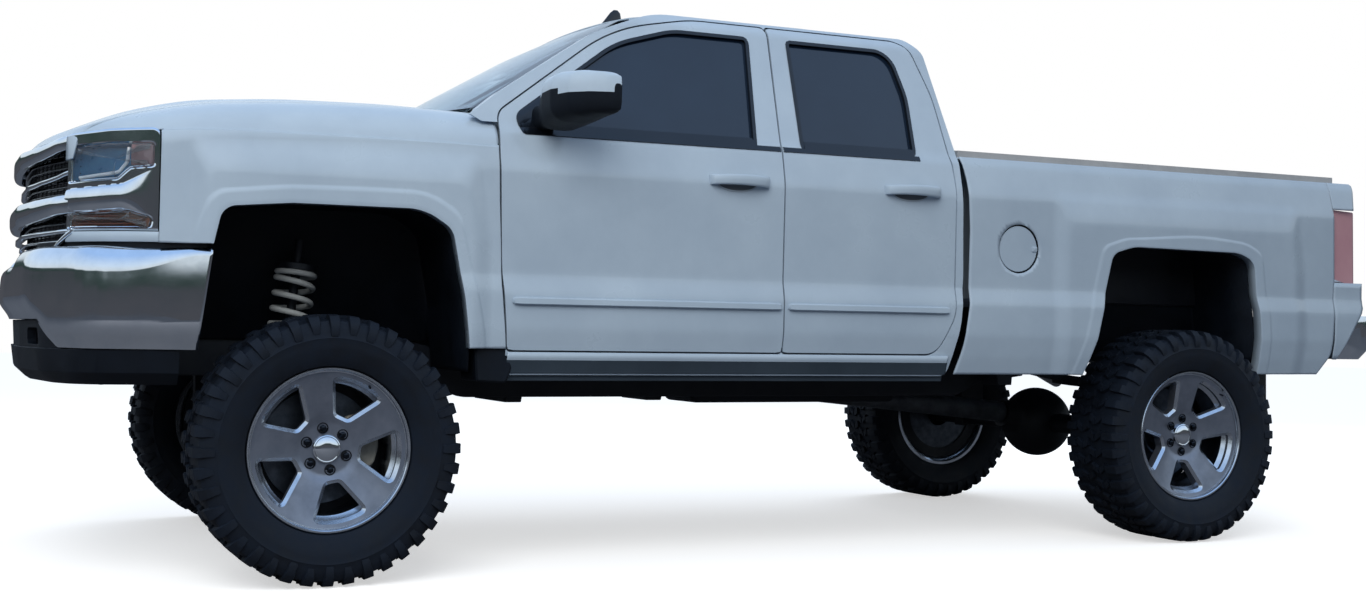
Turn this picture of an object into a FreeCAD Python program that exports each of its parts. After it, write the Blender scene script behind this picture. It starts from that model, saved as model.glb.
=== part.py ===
"""A lifted full-size pickup: extended four-door cab, standard bed, coil-over front and leaf rear suspension.

Station axes: x runs rearward from the front axle, y to the vehicle's right, z up from the ground, in mm.
Every sub-part is modelled on those axes, and its Placement moves it so that the origin stands on the ground
at the middle of the vehicle's length. The right-hand side is modelled and mirrored to the left.
"""
import FreeCAD
import Part
import math
import os

V = FreeCAD.Vector
OUT = "parts"

# alias, value in mm or degrees, what it is
DIMENSIONS = (
    ("wheelbase", 3645, "front axle to rear axle"),
    ("front_overhang", 990, "front axle to bumper nose"),
    ("rear_overhang", 1208, "rear axle to rear bumper face"),
    ("half_track", 890, "vehicle centre to wheel centre plane"),
    ("tyre_radius", 444.5, "35 inch tyre, to the lug tips"),
    ("tyre_half_width", 156, "half the section width"),
    ("tread_base", 430, "radius at the foot of the lugs"),
    ("bead_radius", 256, "tyre bore"),
    ("rim_flange", 271, "outer radius of the rim flange"),
    ("rim_half_width", 122, "half the rim's overall width"),
    ("lug_pitches", 24, "shoulder lugs on each side"),
    ("lug_half_length", 25, "half a lug along the tread"),
    ("spokes", 5, "wide spokes in each wheel"),
    ("disc_radius", 168, "brake disc"),
    ("kingpin_y", 752, "steering axis from the vehicle centre"),
    ("rail_inner", 390, "inside of the frame rail"),
    ("rail_outer", 460, "outside of the frame rail"),
    ("receiver_bore", 51, "hitch receiver socket, square"),
    ("receiver_size", 64, "hitch receiver tube, square"),
    ("receiver_height", 600, "hitch receiver centre above ground"),
    ("hitch_pin_radius", 8, "hitch pin hole"),
    ("engine_length", 690, "engine block with its accessories"),
    ("engine_width", 600, "over the cylinder heads"),
    ("engine_height", 560, "sump to intake"),
    ("engine_front", -330, "station of the engine's front"),
    ("engine_base", 770, "underside of the sump"),
    ("tank_length", 980, "fuel tank"),
    ("tank_width", 300, "fuel tank"),
    ("tank_height", 200, "fuel tank"),
    ("coil_radius", 65, "front spring, centre of the wire"),
    ("coil_wire", 9, "half the spring wire's thickness"),
    ("coil_pitch", 57, "front spring, one turn to the next"),
    ("shaft_radius", 48, "rear propeller shaft"),
    ("axle_tube_radius", 45, "rear axle tube"),
    ("axle_tube_reach", 790, "vehicle centre to the tube's end"),
    ("differential_radius", 162, "rear axle centre casing"),
    ("pinion_radius", 62, "nose of the pinion housing"),
    ("pinion_root_radius", 92, "pinion housing where it meets the casing"),
    ("perch_length", 120, "spring perch along the vehicle"),
    ("perch_width", 68, "spring perch across the vehicle"),
    ("perch_height", 112, "spring perch, foot to lift block"),
    ("spring_centre", 535, "vehicle centre to the leaf springs"),
    ("rack_radius", 16, "steering rack"),
    ("rack_reach", 520, "vehicle centre to the rack's end"),
    ("rod_radius", 12, "tie rods"),
    ("rod_reach", 690, "vehicle centre to the tie rod's ball"),
    ("rack_station", -196, "the rack lies ahead of the axle"),
    ("rack_drop", 46, "the rack lies below the wheel centres"),
    ("cowl_width", 1540, "black panel under the windshield"),
    ("antenna_width", 32, "roof antenna fin"),
    ("tailgate_width", 1572, "between the bedside posts"),
    ("press_width", 1280, "sunk field of the tailgate"),
    ("handle_width", 180, "recess of the tailgate handle"),
    ("gap", 6, "shut gap round doors, hood and gate"),
    ("skin", 24, "fender, bedside and hood walls"),
    ("flange", 10, "thin outer edge of a door, outboard of its seal step"),
    ("fuel_door_radius", 92, "round fuel filler door"),
    ("seal_step", 20, "a door's thick inner part stops this far inside its edge"),
    ("glass", 6, "glass thickness"),
    ("floor_height", 830, "top of the cab floor"),
    ("bed_floor_height", 1030, "top of the bed floor"),
    ("bed_rail_height", 1558, "top of the bedside"),
    ("bed_inner", 820, "inside of the bed wall"),
    ("wheelhouse_inner", 650, "inside of the wheel housing"),
    ("steering_wheel_radius", 190, "rim centreline"),
    ("steering_grip_radius", 16, "half the rim's thickness"),
    ("steering_hub_radius", 55, "steering wheel boss"),
    ("steering_hub_depth", 34, "steering wheel boss"),
    ("steering_spoke_radius", 13, "half a spoke's thickness"),
)


def make_sheet(doc):
    """The driving dimensions as a spreadsheet of plain numbers with aliases, and as a dict for the code."""
    sheet = doc.addObject("Spreadsheet::Sheet", "Dimensions")
    for row, (alias, value, note) in enumerate(DIMENSIONS, start=1):
        sheet.set(f"A{row}", alias)
        sheet.set(f"B{row}", str(value))
        sheet.setAlias(f"B{row}", alias)
        sheet.set(f"C{row}", note)
    doc.recompute()
    return {alias: float(sheet.get(alias)) for alias, _value, _note in DIMENSIONS}


doc = FreeCAD.newDocument("Pickup")
d = make_sheet(doc)
SHIFT = (d["front_overhang"] - d["wheelbase"] - d["rear_overhang"]) / 2
HOME = V(SHIFT, 0, 0)
exports = []


# ---------------------------------------------------------------- drawing helpers

def point_on(plane, a, b, level):
    """A point of a drawing plane: XZ is the side view, XY the plan, YZ the cross-section."""
    return {"XZ": V(a, level, b), "XY": V(a, b, level), "YZ": V(level, a, b)}[plane]


def outline(plane, corners, level=0.0):
    """A closed wire of straight runs; corners are (a, b) or (a, b, radius), rounded by arcs."""
    pts = [point_on(plane, c[0], c[1], level) for c in corners]
    radii = [c[2] if len(c) > 2 else 0.0 for c in corners]
    count = len(pts)
    starts, ends, arcs = [], [], []
    for i, (p, radius) in enumerate(zip(pts, radii)):
        back, ahead = pts[i - 1] - p, pts[(i + 1) % count] - p
        turn = math.pi - back.getAngle(ahead)
        if radius <= 0 or turn < 1e-3:
            starts.append(p)
            ends.append(p)
            arcs.append(None)
            continue
        trim = min(radius * math.tan(turn / 2), 0.49 * back.Length, 0.49 * ahead.Length)
        radius = trim / math.tan(turn / 2)
        back.normalize()
        ahead.normalize()
        middle = back + ahead
        middle.normalize()
        a, b = p + back * trim, p + ahead * trim
        crown = p + middle * (radius / math.cos(turn / 2) - radius)
        starts.append(a)
        ends.append(b)
        arcs.append(Part.Arc(a, crown, b).toShape())
    edges = []
    for i in range(count):
        if arcs[i] is not None:
            edges.append(arcs[i])
        nxt = starts[(i + 1) % count]
        if (nxt - ends[i]).Length > 1e-4:
            edges.append(Part.LineSegment(ends[i], nxt).toShape())
    return Part.Wire(edges)


def prism(plane, corners, low, high):
    """The outline, drawn at one level of its plane, extruded to another."""
    along = {"XZ": V(0, 1, 0), "XY": V(0, 0, 1), "YZ": V(1, 0, 0)}[plane]
    return Part.Face(outline(plane, corners, low)).extrude(along * (high - low))


def block(x0, x1, y0, y1, z0, z1):
    """A box between two corners."""
    return Part.makeBox(x1 - x0, y1 - y0, z1 - z0, V(x0, y0, z0))


def rod(start, end, radius, radius_end=None):
    """A round bar, or a taper, from one point to another."""
    start, end = V(*start), V(*end)
    run = end - start
    if radius_end is None or abs(radius_end - radius) < 1e-6:
        return Part.makeCylinder(radius, run.Length, start, run)
    return Part.makeCone(radius, radius_end, run.Length, start, run)


def tube_along(points, radius, bend):
    """A round tube along straight runs joined by tangent arcs of one bend radius."""
    pts = [V(*p) for p in points]
    edges, here = [], pts[0]
    for i in range(1, len(pts) - 1):
        back, ahead = pts[i - 1] - pts[i], pts[i + 1] - pts[i]
        turn = math.pi - back.getAngle(ahead)
        trim = min(bend * math.tan(turn / 2), 0.45 * back.Length, 0.45 * ahead.Length)
        arc_radius = trim / math.tan(turn / 2)
        back.normalize()
        ahead.normalize()
        middle = back + ahead
        middle.normalize()
        a, b = pts[i] + back * trim, pts[i] + ahead * trim
        crown = pts[i] + middle * (arc_radius / math.cos(turn / 2) - arc_radius)
        edges += [Part.LineSegment(here, a).toShape(), Part.Arc(a, crown, b).toShape()]
        here = b
    edges.append(Part.LineSegment(here, pts[-1]).toShape())
    path = Part.Wire(edges)
    profile = Part.Wire(Part.makeCircle(radius, pts[0], pts[1] - pts[0]))
    return path.makePipeShell([profile], True, True)


def mirrored(shape):
    """The left-hand twin of a right-hand shape."""
    return shape.mirror(V(0, 0, 0), V(0, 1, 0))


def pair(shape):
    """A right-hand shape and its left-hand twin, as separate solids of one piece."""
    return Part.makeCompound(solids_of(shape) + solids_of(mirrored(shape)))


def solids_of(shape):
    """The shape's solids, as a list."""
    return list(shape.Solids)


def fused(shapes):
    """One shape from touching shapes, with its coplanar faces merged."""
    shapes = list(shapes)
    whole = shapes[0].multiFuse(shapes[1:]) if len(shapes) > 1 else shapes[0]
    return whole.removeSplitter()


def grown(corners, by):
    """An outline moved outwards by a distance, or inwards if it is negative."""
    count = len(corners)
    area = sum(corners[i - 1][0] * corners[i][1] - corners[i][0] * corners[i - 1][1] for i in range(count))
    side = 1.0 if area > 0 else -1.0
    moved = []
    for i in range(count):
        (ax, ay), (bx, by_), (cx, cy) = (corners[j % count][:2] for j in (i - 1, i, i + 1))
        n1 = V(by_ - ay, ax - bx, 0) * side
        n2 = V(cy - by_, bx - cx, 0) * side
        n1.normalize()
        n2.normalize()
        bisector = n1 + n2
        bisector.normalize()
        reach = by / max(0.3, bisector.dot(n1))
        radius = corners[i][2] if len(corners[i]) > 2 else 0.0
        radius = max(0.0, radius + by) if radius else 0.0
        moved.append((bx + bisector.x * reach, by_ + bisector.y * reach, radius))
    return moved


def keep(label, shape, turn=None, at=None):
    """A sub-part of the document, with the Placement that carries it to the vehicle's origin."""
    thing = doc.addObject("Part::Feature", label)
    thing.Label = label
    thing.Shape = shape
    base = HOME + (V(*at) if at else V(0, 0, 0))
    thing.Placement = FreeCAD.Placement(base, turn or FreeCAD.Rotation())
    exports.append(thing)
    return thing


def primitive(kind, name, at, axis=(0, 0, 1), **sizes):
    """A Part primitive at a point, its own Z along an axis, its sizes bound to expressions of the sheet."""
    thing = doc.addObject(kind, name)
    for size, expression in sizes.items():
        thing.setExpression(size, expression)
    thing.Placement = FreeCAD.Placement(V(*at), FreeCAD.Rotation(V(0, 0, 1), V(*axis)))
    return thing


def keep_joined(label, members):
    """A sub-part made by fusing primitives."""
    whole = doc.addObject("Part::MultiFuse", label)
    whole.Label = label
    whole.Shapes = members
    whole.Refine = True
    whole.Placement = FreeCAD.Placement(HOME, FreeCAD.Rotation())
    exports.append(whole)


def sketch_on(body, role, edges, name):
    """A sketch of the given edges on one of the body's origin planes."""
    plane = next(f for f in body.Origin.OriginFeatures if f.Role == role)
    sketch = body.newObject("Sketcher::SketchObject", name)
    sketch.AttachmentSupport = (plane, [""])
    sketch.MapMode = "FlatFace"
    sketch.addGeometry(edges, False)
    return sketch


def edge_geometry(edge):
    """The line or arc under an edge, as sketch geometry."""
    a, b = edge.Vertexes[0].Point, edge.Vertexes[-1].Point
    if isinstance(edge.Curve, Part.Line):
        return Part.LineSegment(a, b)
    mid = edge.valueAt((edge.FirstParameter + edge.LastParameter) / 2)
    return Part.Arc(a, mid, b)


def flat_edges(corners):
    """The rounded outline of (a, b, radius) corners as sketch geometry."""
    return [edge_geometry(e) for e in outline("XY", corners).Edges]


def keep_padded(label, profile, width, pockets=()):
    """A PartDesign sub-part: a side-view profile padded across the centre line, and pockets cut in it.

    Widths are expressions of the sheet. Each pocket is a (name, side-view profile, width).
    """
    body = doc.addObject("PartDesign::Body", label)
    body.Label = label
    pad = body.newObject("PartDesign::Pad", label + "_pad")
    pad.Profile = sketch_on(body, "XZ_Plane", flat_edges(profile), label + "_profile")
    pad.Midplane = True
    pad.setExpression("Length", width)
    doc.recompute()
    for name, corners, pocket_width in pockets:
        before = body.Shape.Volume
        pocket = body.newObject("PartDesign::Pocket", f"{label}_{name}")
        pocket.Profile = sketch_on(body, "XZ_Plane", flat_edges(corners), f"{label}_{name}_profile")
        pocket.Midplane = True
        pocket.setExpression("Length", pocket_width)
        body.Tip = pocket
        doc.recompute()
        if before - body.Shape.Volume < 1000:
            raise RuntimeError(f"{label}: {name} cuts nothing")
    body.Placement = FreeCAD.Placement(HOME, FreeCAD.Rotation())
    exports.append(body)


# ---------------------------------------------------------------- body sides

# Cross-section of the cab side and bedside: height, outer half-width, whole wall depth, corner radius
SIDE = (
    (690, 962, 100, 0),
    (768, 984, 100, 60),
    (850, 1000, 108, 120),
    (972, 1003, 110, 30),
    (1036, 990, 100, 60),
    (1400, 1001, 108, 500),
    (1528, 976, 92, 60),
    (1562, 956, 74, 40),
    (2004, 803, 62, 120),
    (2052, 748, 58, 0),
)


def side_width(z):
    """Outer half-width of the body side at a height, by straight lines between the section's corners."""
    for low, high in zip(SIDE, SIDE[1:]):
        if z <= high[0]:
            share = (z - low[0]) / (high[0] - low[0])
            return low[1] + share * (high[1] - low[1])
    return SIDE[-1][1]


def side_layer(outer, inner, x0, x1, table=SIDE):
    """A layer of the body side between two shares of its depth: 0 outer face, 1 inner, -3 far outside."""
    out = [(w - outer * depth, z, r if outer == 0 else 0) for z, w, depth, r in table]
    back = [(w - inner * depth, z) for z, w, depth, _r in reversed(table)]
    return prism("YZ", out + back, x0, x1)


def thin_layer(thickness, x0, x1, table=SIDE):
    """The outermost few millimetres of the body side."""
    out = [(w, z, r) for z, w, _depth, r in table]
    back = [(w - thickness, z) for z, w, _depth, _r in reversed(table)]
    return prism("YZ", out + back, x0, x1)


DOOR_SHARE = 0.58   # a door takes this share of the wall's depth, and the jamb behind it the rest
JAMB_SHARE = 0.70
CAB_FRONT, CAB_REAR = 560, 2500

FRONT_DOOR = (
    (610, 776, 14), (585, 1080, 600), (573, 1450, 600), (578, 1604, 60), (1052, 1958, 700),
    (1400, 2033, 500), (1711, 2033, 14), (1687, 1531, 900), (1687, 776, 10),
)
REAR_DOOR = (
    (1693, 776, 10), (1693, 1531, 900), (1720, 2033, 14), (2350, 2033, 90), (2424, 1800, 500),
    (2457, 1450, 700), (2457, 930, 170), (2372, 776, 80),
)
FRONT_WINDOW = (
    (652, 1548, 22), (640, 1600, 45), (1058, 1908, 420), (1300, 1981, 320), (1622, 1981, 20), (1586, 1548, 10),
)
REAR_WINDOW = ((1779, 1548, 10), (1790, 1984, 16), (2262, 1984, 95), (2304, 1790, 300), (2292, 1556, 14))
CAB_PROFILE = (
    (560, 690, 0), (560, 1540, 0), (474, 1590, 0), (580, 1674, 200), (986, 1946, 600), (1250, 2052, 400),
    (2372, 2052, 60), (2424, 1990, 90), (2486, 1560, 400), (2498, 1069, 500), (2484, 900, 300),
    (2436, 690, 40),
)


def door_shell(profile, window, handle, moulding):
    """A door: thin flange, thick part inside it, window cut out, with its handle and rubbing strip."""
    skin = thin_layer(d["flange"], CAB_FRONT, CAB_REAR).common(prism("XZ", profile, 500, 1200))
    core = side_layer(0, DOOR_SHARE, CAB_FRONT, CAB_REAR)
    core = core.common(prism("XZ", grown(profile, -d["seal_step"]), 500, 1200))
    shell = skin.fuse(core).cut(prism("XZ", window, 500, 1200))
    x0, x1 = handle
    grip = prism("XY", [(x0, 985, 0), (x0 + 20, 1030, 20), (x1 - 25, 1034, 20), (x1, 985, 0)], 1388, 1424)
    palm = [(x0 + 50, 1006, 0), (x0 + 66, 1020, 10), (x1 - 70, 1020, 10), (x1 - 54, 1006, 0)]
    hollow = prism("XY", palm, 1370, 1440)
    x2, x3 = moulding
    strip = block(x2, x3, 985, 1016, 934, 960)
    return fused([shell, grip.cut(hollow), strip])


def window_pane(window):
    """Door glass: it fills the window opening, a little proud of mid-depth."""
    table = [(z, w, depth, 0) for z, w, depth, _r in SIDE[6:]]
    outer = [(w - 12, z) for z, w, _depth, _r in table]
    inner = [(w - 12 - d["glass"], z) for z, w, _depth, _r in reversed(table)]
    return prism("YZ", outer + inner, CAB_FRONT, CAB_REAR).common(prism("XZ", grown(window, -0.2), 500, 1200))


def cab_side(front_body):
    """One side of the cab: rocker, pillars and roof rail, stepped so that each door seats in its aperture."""
    wall = side_layer(0, 1, CAB_FRONT - 100, CAB_REAR).common(prism("XZ", CAB_PROFILE, 500, 1200))
    for profile in (FRONT_DOOR, REAR_DOOR):
        pocket = side_layer(-3, JAMB_SHARE, CAB_FRONT - 120, CAB_REAR)
        wall = wall.cut(pocket.common(prism("XZ", grown(profile, d["gap"]), 500, 1300)))
        wall = wall.cut(prism("XZ", grown(profile, -52), 500, 1200))
    # the hinge pillar stands inboard of the fender's rear edge, and the screen pillar on the front body
    wall = wall.cut(block(400, 606, 905, 1100, 640, 1548))
    wall = wall.cut(front_body.common(block(400, 574, 700, 1100, 1540, 1700)))
    return wall.cut(block(1090, 2404, 0, ROOF_HALF, 2012, 2200))


def cab_inner(x0, x1):
    """The space between the cab's side walls, for trimming the floor, firewall, back and roof to them."""
    table = [(w - depth, z) for z, w, depth, _r in SIDE]
    return prism("YZ", table + [(-y, z) for y, z in reversed(table)], x0, x1)


def cab_floor():
    """Floor pan with its raised tunnel, and the firewall."""
    top = d["floor_height"]
    floor = block(640, 2440, -900, 900, top - 40, top)
    firewall = [(604, top - 40), (640, top - 40), (640, 1500), (560, 1572), (524, 1572), (604, 1480)]
    wall = prism("XZ", firewall, -900, 900)
    raised = [(-190, top - 20), (-150, top + 110, 40), (150, top + 110, 40), (190, top - 20)]
    hollow = [(-160, top - 60), (-125, top + 90, 30), (125, top + 90, 30), (160, top - 60)]
    tunnel, under = prism("YZ", raised, 640, 1500), prism("YZ", hollow, 600, 1480)
    return fused([floor, wall, tunnel]).cut(under).common(cab_inner(400, 2500))


BACK_PROFILE = ((2380, 830, 0), (2436, 830, 0), (2470, 1069, 0), (2468, 1560, 200), (2400, 2012, 0),
                (2350, 2012, 0), (2412, 1560, 200))
BACK_WINDOW = ((-600, 1640, 60), (600, 1640, 60), (560, 1965, 60), (-560, 1965, 60))


def cab_back():
    """The cab's rear wall with its window cut."""
    wall = prism("XZ", BACK_PROFILE, -900, 900).common(cab_inner(400, 2600))
    return wall.cut(prism("YZ", BACK_WINDOW, 2200, 2600))


def back_glass():
    """Rear window, set in the back wall's opening."""
    profile = [(2437, 1500), (2437, 1560, 200), (2368, 2012), (2362, 2012), (2431, 1560, 200), (2431, 1500)]
    plate = prism("XZ", profile, -900, 900)
    return plate.common(prism("YZ", grown(BACK_WINDOW, -0.3), 2200, 2600))


# Roof sections: station, height at the edge, height at the middle
ROOF = ((1100, 2016, 2052), (1250, 2040, 2084), (1450, 2050, 2106), (1900, 2052, 2114), (2300, 2046, 2100),
        (2404, 2020, 2066))
ROOF_HALF = 742
ROOF_FRONT, ROOF_FRONT_ARC = 1106, 4870      # front edge: station at the middle, radius in plan


def roof_wire(x, edge, middle, drop):
    """One closed section of the roof: an arch over the cab, flat below."""
    left, right, top = V(x, -ROOF_HALF, edge - drop), V(x, ROOF_HALF, edge - drop), V(x, 0, middle - drop)
    if drop:
        left, right = V(x, -ROOF_HALF + 40, edge - drop), V(x, ROOF_HALF - 40, edge - drop)
    arch = Part.Arc(left, top, right).toShape()
    low_l, low_r = V(left.x, left.y, 2012 - drop), V(right.x, right.y, 2012 - drop)
    return Part.Wire([arch, Part.LineSegment(right, low_r).toShape(), Part.LineSegment(low_r, low_l).toShape(),
                      Part.LineSegment(low_l, left).toShape()])


def roof_crest(x):
    """Height of the roof on the centre line, by straight lines between its sections."""
    for (x0, _edge0, z0), (x1, _edge1, z1) in zip(ROOF, ROOF[1:]):
        if x <= x1:
            return z0 + (z1 - z0) * (x - x0) / (x1 - x0)
    return ROOF[-1][2]


def roof_panel():
    """The roof skin, arched across and along, open underneath."""
    outer = Part.makeLoft([roof_wire(x, e, m, 0) for x, e, m in ROOF], True, True)
    inner = Part.makeLoft([roof_wire(x, e, m, 26) for x, e, m in ROOF], True, True)
    opening = inner.common(block(1180, 2345, -900, 900, 1900, 2200))
    front = rod((ROOF_FRONT + ROOF_FRONT_ARC, 0, 1900), (ROOF_FRONT + ROOF_FRONT_ARC, 0, 2200), ROOF_FRONT_ARC)
    return outer.cut(opening).common(front)


# Windshield lines: station and height at the middle, then at the side, half-width there
SCREEN = ((392, 1646, 528, 1632, 806), (601, 1775, 722, 1764, 776), (898, 1949, 984, 1936, 724),
          (1092, 2046, 1140, 2026, 684))


def screen_wire(xm, zm, xs, zs, ys):
    """One closed line across the windshield: its outer arc, closed by a straight chord."""
    a, b, c = V(xs, -ys, zs), V(xm, 0, zm), V(xs, ys, zs)
    return Part.Wire([Part.Arc(a, b, c).toShape(), Part.LineSegment(c, a).toShape()])


def windshield():
    """Laminated front screen, curved in plan and raked."""
    whole = Part.makeLoft([screen_wire(*row) for row in SCREEN], True, True)
    behind = [screen_wire(xm + 11, zm, xs + 11, zs, ys) for xm, zm, xs, zs, ys in SCREEN]
    inside = Part.makeLoft(behind, True, True)
    pane = whole.cut(inside)
    return max(pane.Solids, key=lambda solid: solid.Volume)


# ---------------------------------------------------------------- front end

# Front body sections: station, half-width, shoulder height, crest half-width, crest height, middle height
NOSE = (
    (604, 998, 1470, 800, 1618, 1672),
    (265, 998, 1466, 800, 1620, 1680),
    (-100, 996, 1456, 796, 1610, 1672),
    (-407, 992, 1440, 780, 1586, 1646),
    (-640, 984, 1410, 764, 1534, 1590),
    (-820, 976, 1376, 756, 1464, 1512),
    (-1000, 970, 1300, 750, 1380, 1420),
)

# Plan of the front body: the lamps wrap from the grille round to the fenders
NOSE_PLAN = ((-948, 0), (-940, 330, 600), (-900, 520, 300), (-822, 760, 300), (-620, 940, 500),
             (-340, 996, 900), (100, 1000, 0), (604, 1000, 0))
NOSE_FOOT = 700


def nose_wire(x, half, shoulder, crest_y, crest_z, middle, inset):
    """One closed section of the front body: upright sides, rounded shoulders and a crowned top."""
    half, crest_y = half - inset, crest_y - 0.4 * inset
    shoulder, crest_z, middle = shoulder - 0.4 * inset, crest_z - inset, middle - inset
    def at(y, z):
        return V(x, y, z)
    knee_y, knee_z = half - 0.28 * (half - crest_y), crest_z - 0.27 * (crest_z - shoulder)
    edges = [
        Part.LineSegment(at(-half, NOSE_FOOT), at(half, NOSE_FOOT)),
        Part.LineSegment(at(half, NOSE_FOOT), at(half, shoulder)),
        Part.Arc(at(half, shoulder), at(knee_y, knee_z), at(crest_y, crest_z)),
        Part.Arc(at(crest_y, crest_z), at(0, middle), at(-crest_y, crest_z)),
        Part.Arc(at(-crest_y, crest_z), at(-knee_y, knee_z), at(-half, shoulder)),
        Part.LineSegment(at(-half, shoulder), at(-half, NOSE_FOOT)),
    ]
    return Part.Wire([e.toShape() for e in edges])


def nose_solid(inset):
    """The front body as one solid, drawn in by an inset for the inside of its skin."""
    body = Part.makeLoft([nose_wire(*row, inset) for row in NOSE], True, True)
    right = [(x + inset, y - 0.7 * inset, *r) for x, y, *r in NOSE_PLAN[1:]]
    left = [(x, -y, *r) for x, y, *r in reversed(right)]
    return body.common(prism("XY", [(NOSE_PLAN[0][0] + inset, 0)] + right + left, 600, 1800))


HOOD_EDGE = 776       # hood shut line from the vehicle centre
FRONT_ARCH = ((-470, 600, 0), (-392, 1100, 60), (-345, 1252, 120), (385, 1252, 130), (470, 830, 200),
              (482, 600, 0))
REAR_ARCH = ((3070, 600, 0), (3120, 790, 120), (3205, 1222, 130), (4010, 1222, 110), (4030, 900, 200),
             (4040, 600, 0))


FRONT_FLARE = ((-440, 1100, 0), (-455, 1330, 120), (-420, 1462, 60), (400, 1462, 60), (520, 1420, 60),
               (548, 1150, 200), (585, 782, 0))


def front_fender(shell):
    """Right fender: the front body's skin between hood, door, lamp and bumper, with the flared arch."""
    side_view = [(604, 782), (579, 1080, 600), (567, 1450, 600), (572, 1700), (-820, 1700), (-820, 1478),
                 (-548, 1478, 20), (-548, 1104), (-392, 1104), (-392, 782)]
    panel = shell.common(prism("XZ", side_view, HOOD_EDGE + 3, 1200))
    flare = flared_patch(FRONT_FLARE, 960, 1016, 60)
    flare = flare.cut(block(-800, -300, 900, 1100, 600, 1100))
    return fused([panel, flare]).cut(prism("XZ", FRONT_ARCH, 700, 1200))


def flared_patch(corners, y_foot, y_face, draft):
    """A raised patch on a body side, drawn in by the draft from its foot to its face."""
    foot = outline("XZ", corners, y_foot)
    face = outline("XZ", grown(corners, -draft), y_face)
    return Part.makeLoft([foot, face], True, True)


def hood(shell):
    """The hood, between the fenders, from the grille to the cowl."""
    edge = HOOD_EDGE - 3
    plan = [(-960, 0), (-960, -edge), (470, -edge, 60), (330, 0, 700), (470, edge, 60), (-960, edge)]
    return shell.common(prism("XY", plan, 1200, 1800)).cut(
        prism("XZ", [(-1000, 1100), (-1000, 1444), (-800, 1470), (-640, 1470), (-640, 1100)], -900, 900))


UPPER_LENS = ((-1000, 1416), (-700, 1424), (-572, 1426, 10), (-572, 1349, 8), (-648, 1346, 10),
              (-678, 1306, 20), (-760, 1302), (-1000, 1292))
LOWER_LENS = ((-1000, 1204), (-600, 1210, 8), (-572, 1190, 8), (-572, 1153, 6), (-1000, 1151))
LAMP_DEPTH, LENS_SETBACK = 70, 9


def headlamp(front):
    """Right headlamp between fender, hood and grille, its lenses sunk in a bright frame."""
    region = prism("XZ", [(-554, 1144, 10), (-554, 1472, 24), (-1000, 1472), (-1000, 1144)], 520, 1200)
    body = front.common(region).cut(block(-1000, -500, 0, 640, 1000, 1600))
    under_hood = [(-1000, 1437), (-800, 1463), (-550, 1463), (-550, 1700), (-1000, 1700)]
    body = body.cut(prism("XZ", under_hood, 0, 782))
    behind = nose_solid(LENS_SETBACK)
    for lens in (UPPER_LENS, LOWER_LENS):
        body = body.cut(prism("XZ", lens, 520, 1200).cut(behind))
    return body.cut(nose_solid(LAMP_DEPTH))


# ---------------------------------------------------------------- bumpers and grille

BUMPER_PLAN = ((-990, 0), (-985, 330, 400), (-930, 700, 300), (-770, 930, 160), (-450, 978, 0))


def wrap_plan(inset, tail, plan=BUMPER_PLAN):
    """Plan of a wrap-round bumper, drawn in by an inset and closed straight across at its tail."""
    right = []
    for x, y, *r in plan[1:]:
        ahead, aside = (1.0, 0.35) if y < 900 else (0.0, 1.0)
        right.append((x + inset * ahead, y - inset * aside, *(r or [0])))
    right[-1] = (tail, right[-1][1], 0)
    left = [(x, -y, *rest) for x, y, *rest in reversed(right)]
    return [(plan[0][0] + inset, 0)] + right + left


def wrap_solid(levels, tail, plan=BUMPER_PLAN):
    """A wrap-round solid through plans at several heights, given as (height, inset)."""
    return Part.makeLoft([outline("XY", wrap_plan(inset, tail, plan), z) for z, inset in levels], True, True)


def front_bumper():
    """Bright bumper shell: rounded top, flat face, lower edge cut up in the middle."""
    outer = wrap_solid([(770, 34), (830, 6), (1020, 0), (1070, 16), (1098, 60)], -380)
    inner = wrap_solid([(740, 62), (830, 34), (1020, 28), (1070, 44), (1110, 100)], -300)
    shell = outer.cut(inner)
    mouth = [(-840, 700), (840, 700), (800, 770, 40), (700, 862, 60), (-700, 862, 60), (-800, 770, 40)]
    intake = [(-430, 1030, 20), (430, 1030, 20), (470, 1150), (-470, 1150)]
    shell = shell.cut(prism("YZ", mouth, -1100, -700)).cut(prism("YZ", intake, -1100, -700))
    return shell.cut(prism("XZ", FRONT_ARCH, -1200, 1200))


VALANCE_TAIL = -474       # clear of the steered tyre


def front_valance():
    """Dark lower apron under the bumper, with the tow hook openings."""
    outer = wrap_solid([(652, 90), (690, 50), (764, 40)], VALANCE_TAIL)
    inner = wrap_solid([(640, 118), (690, 78), (770, 68)], -300)
    skirt = outer.cut(inner)
    middle = wrap_solid([(752, 50), (856, 44)], VALANCE_TAIL).cut(wrap_solid([(740, 78), (870, 72)], -300))
    mouth = [(-806, 750), (806, 750), (770, 778), (690, 856), (-690, 856), (-770, 778)]
    middle = middle.common(prism("YZ", mouth, -1100, -700))
    whole = fused([skirt, middle])
    for y in (-560, 560):
        hook = [(y - 90, 775, 16), (y + 90, 775, 16), (y + 80, 830, 16), (y - 80, 830, 16)]
        whole = whole.cut(prism("YZ", hook, -1100, -800))
    return whole


GRILLE_PLAN = ((-960, 0), (-955, 300, 500), (-925, 520, 300), (-880, 636, 0))

# Grille bars: bottom, top, how far the bar stands back from the grille's face
GRILLE_BARS = ((1392, 1452, 14), (1340, 1358, 34), (1186, 1290, 0), (1146, 1158, 30), (1104, 1116, 30))
GRILLE_SLATS = (1375, 1323, 1306, 1171, 1131)      # heights of the thin slats between the bars


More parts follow.
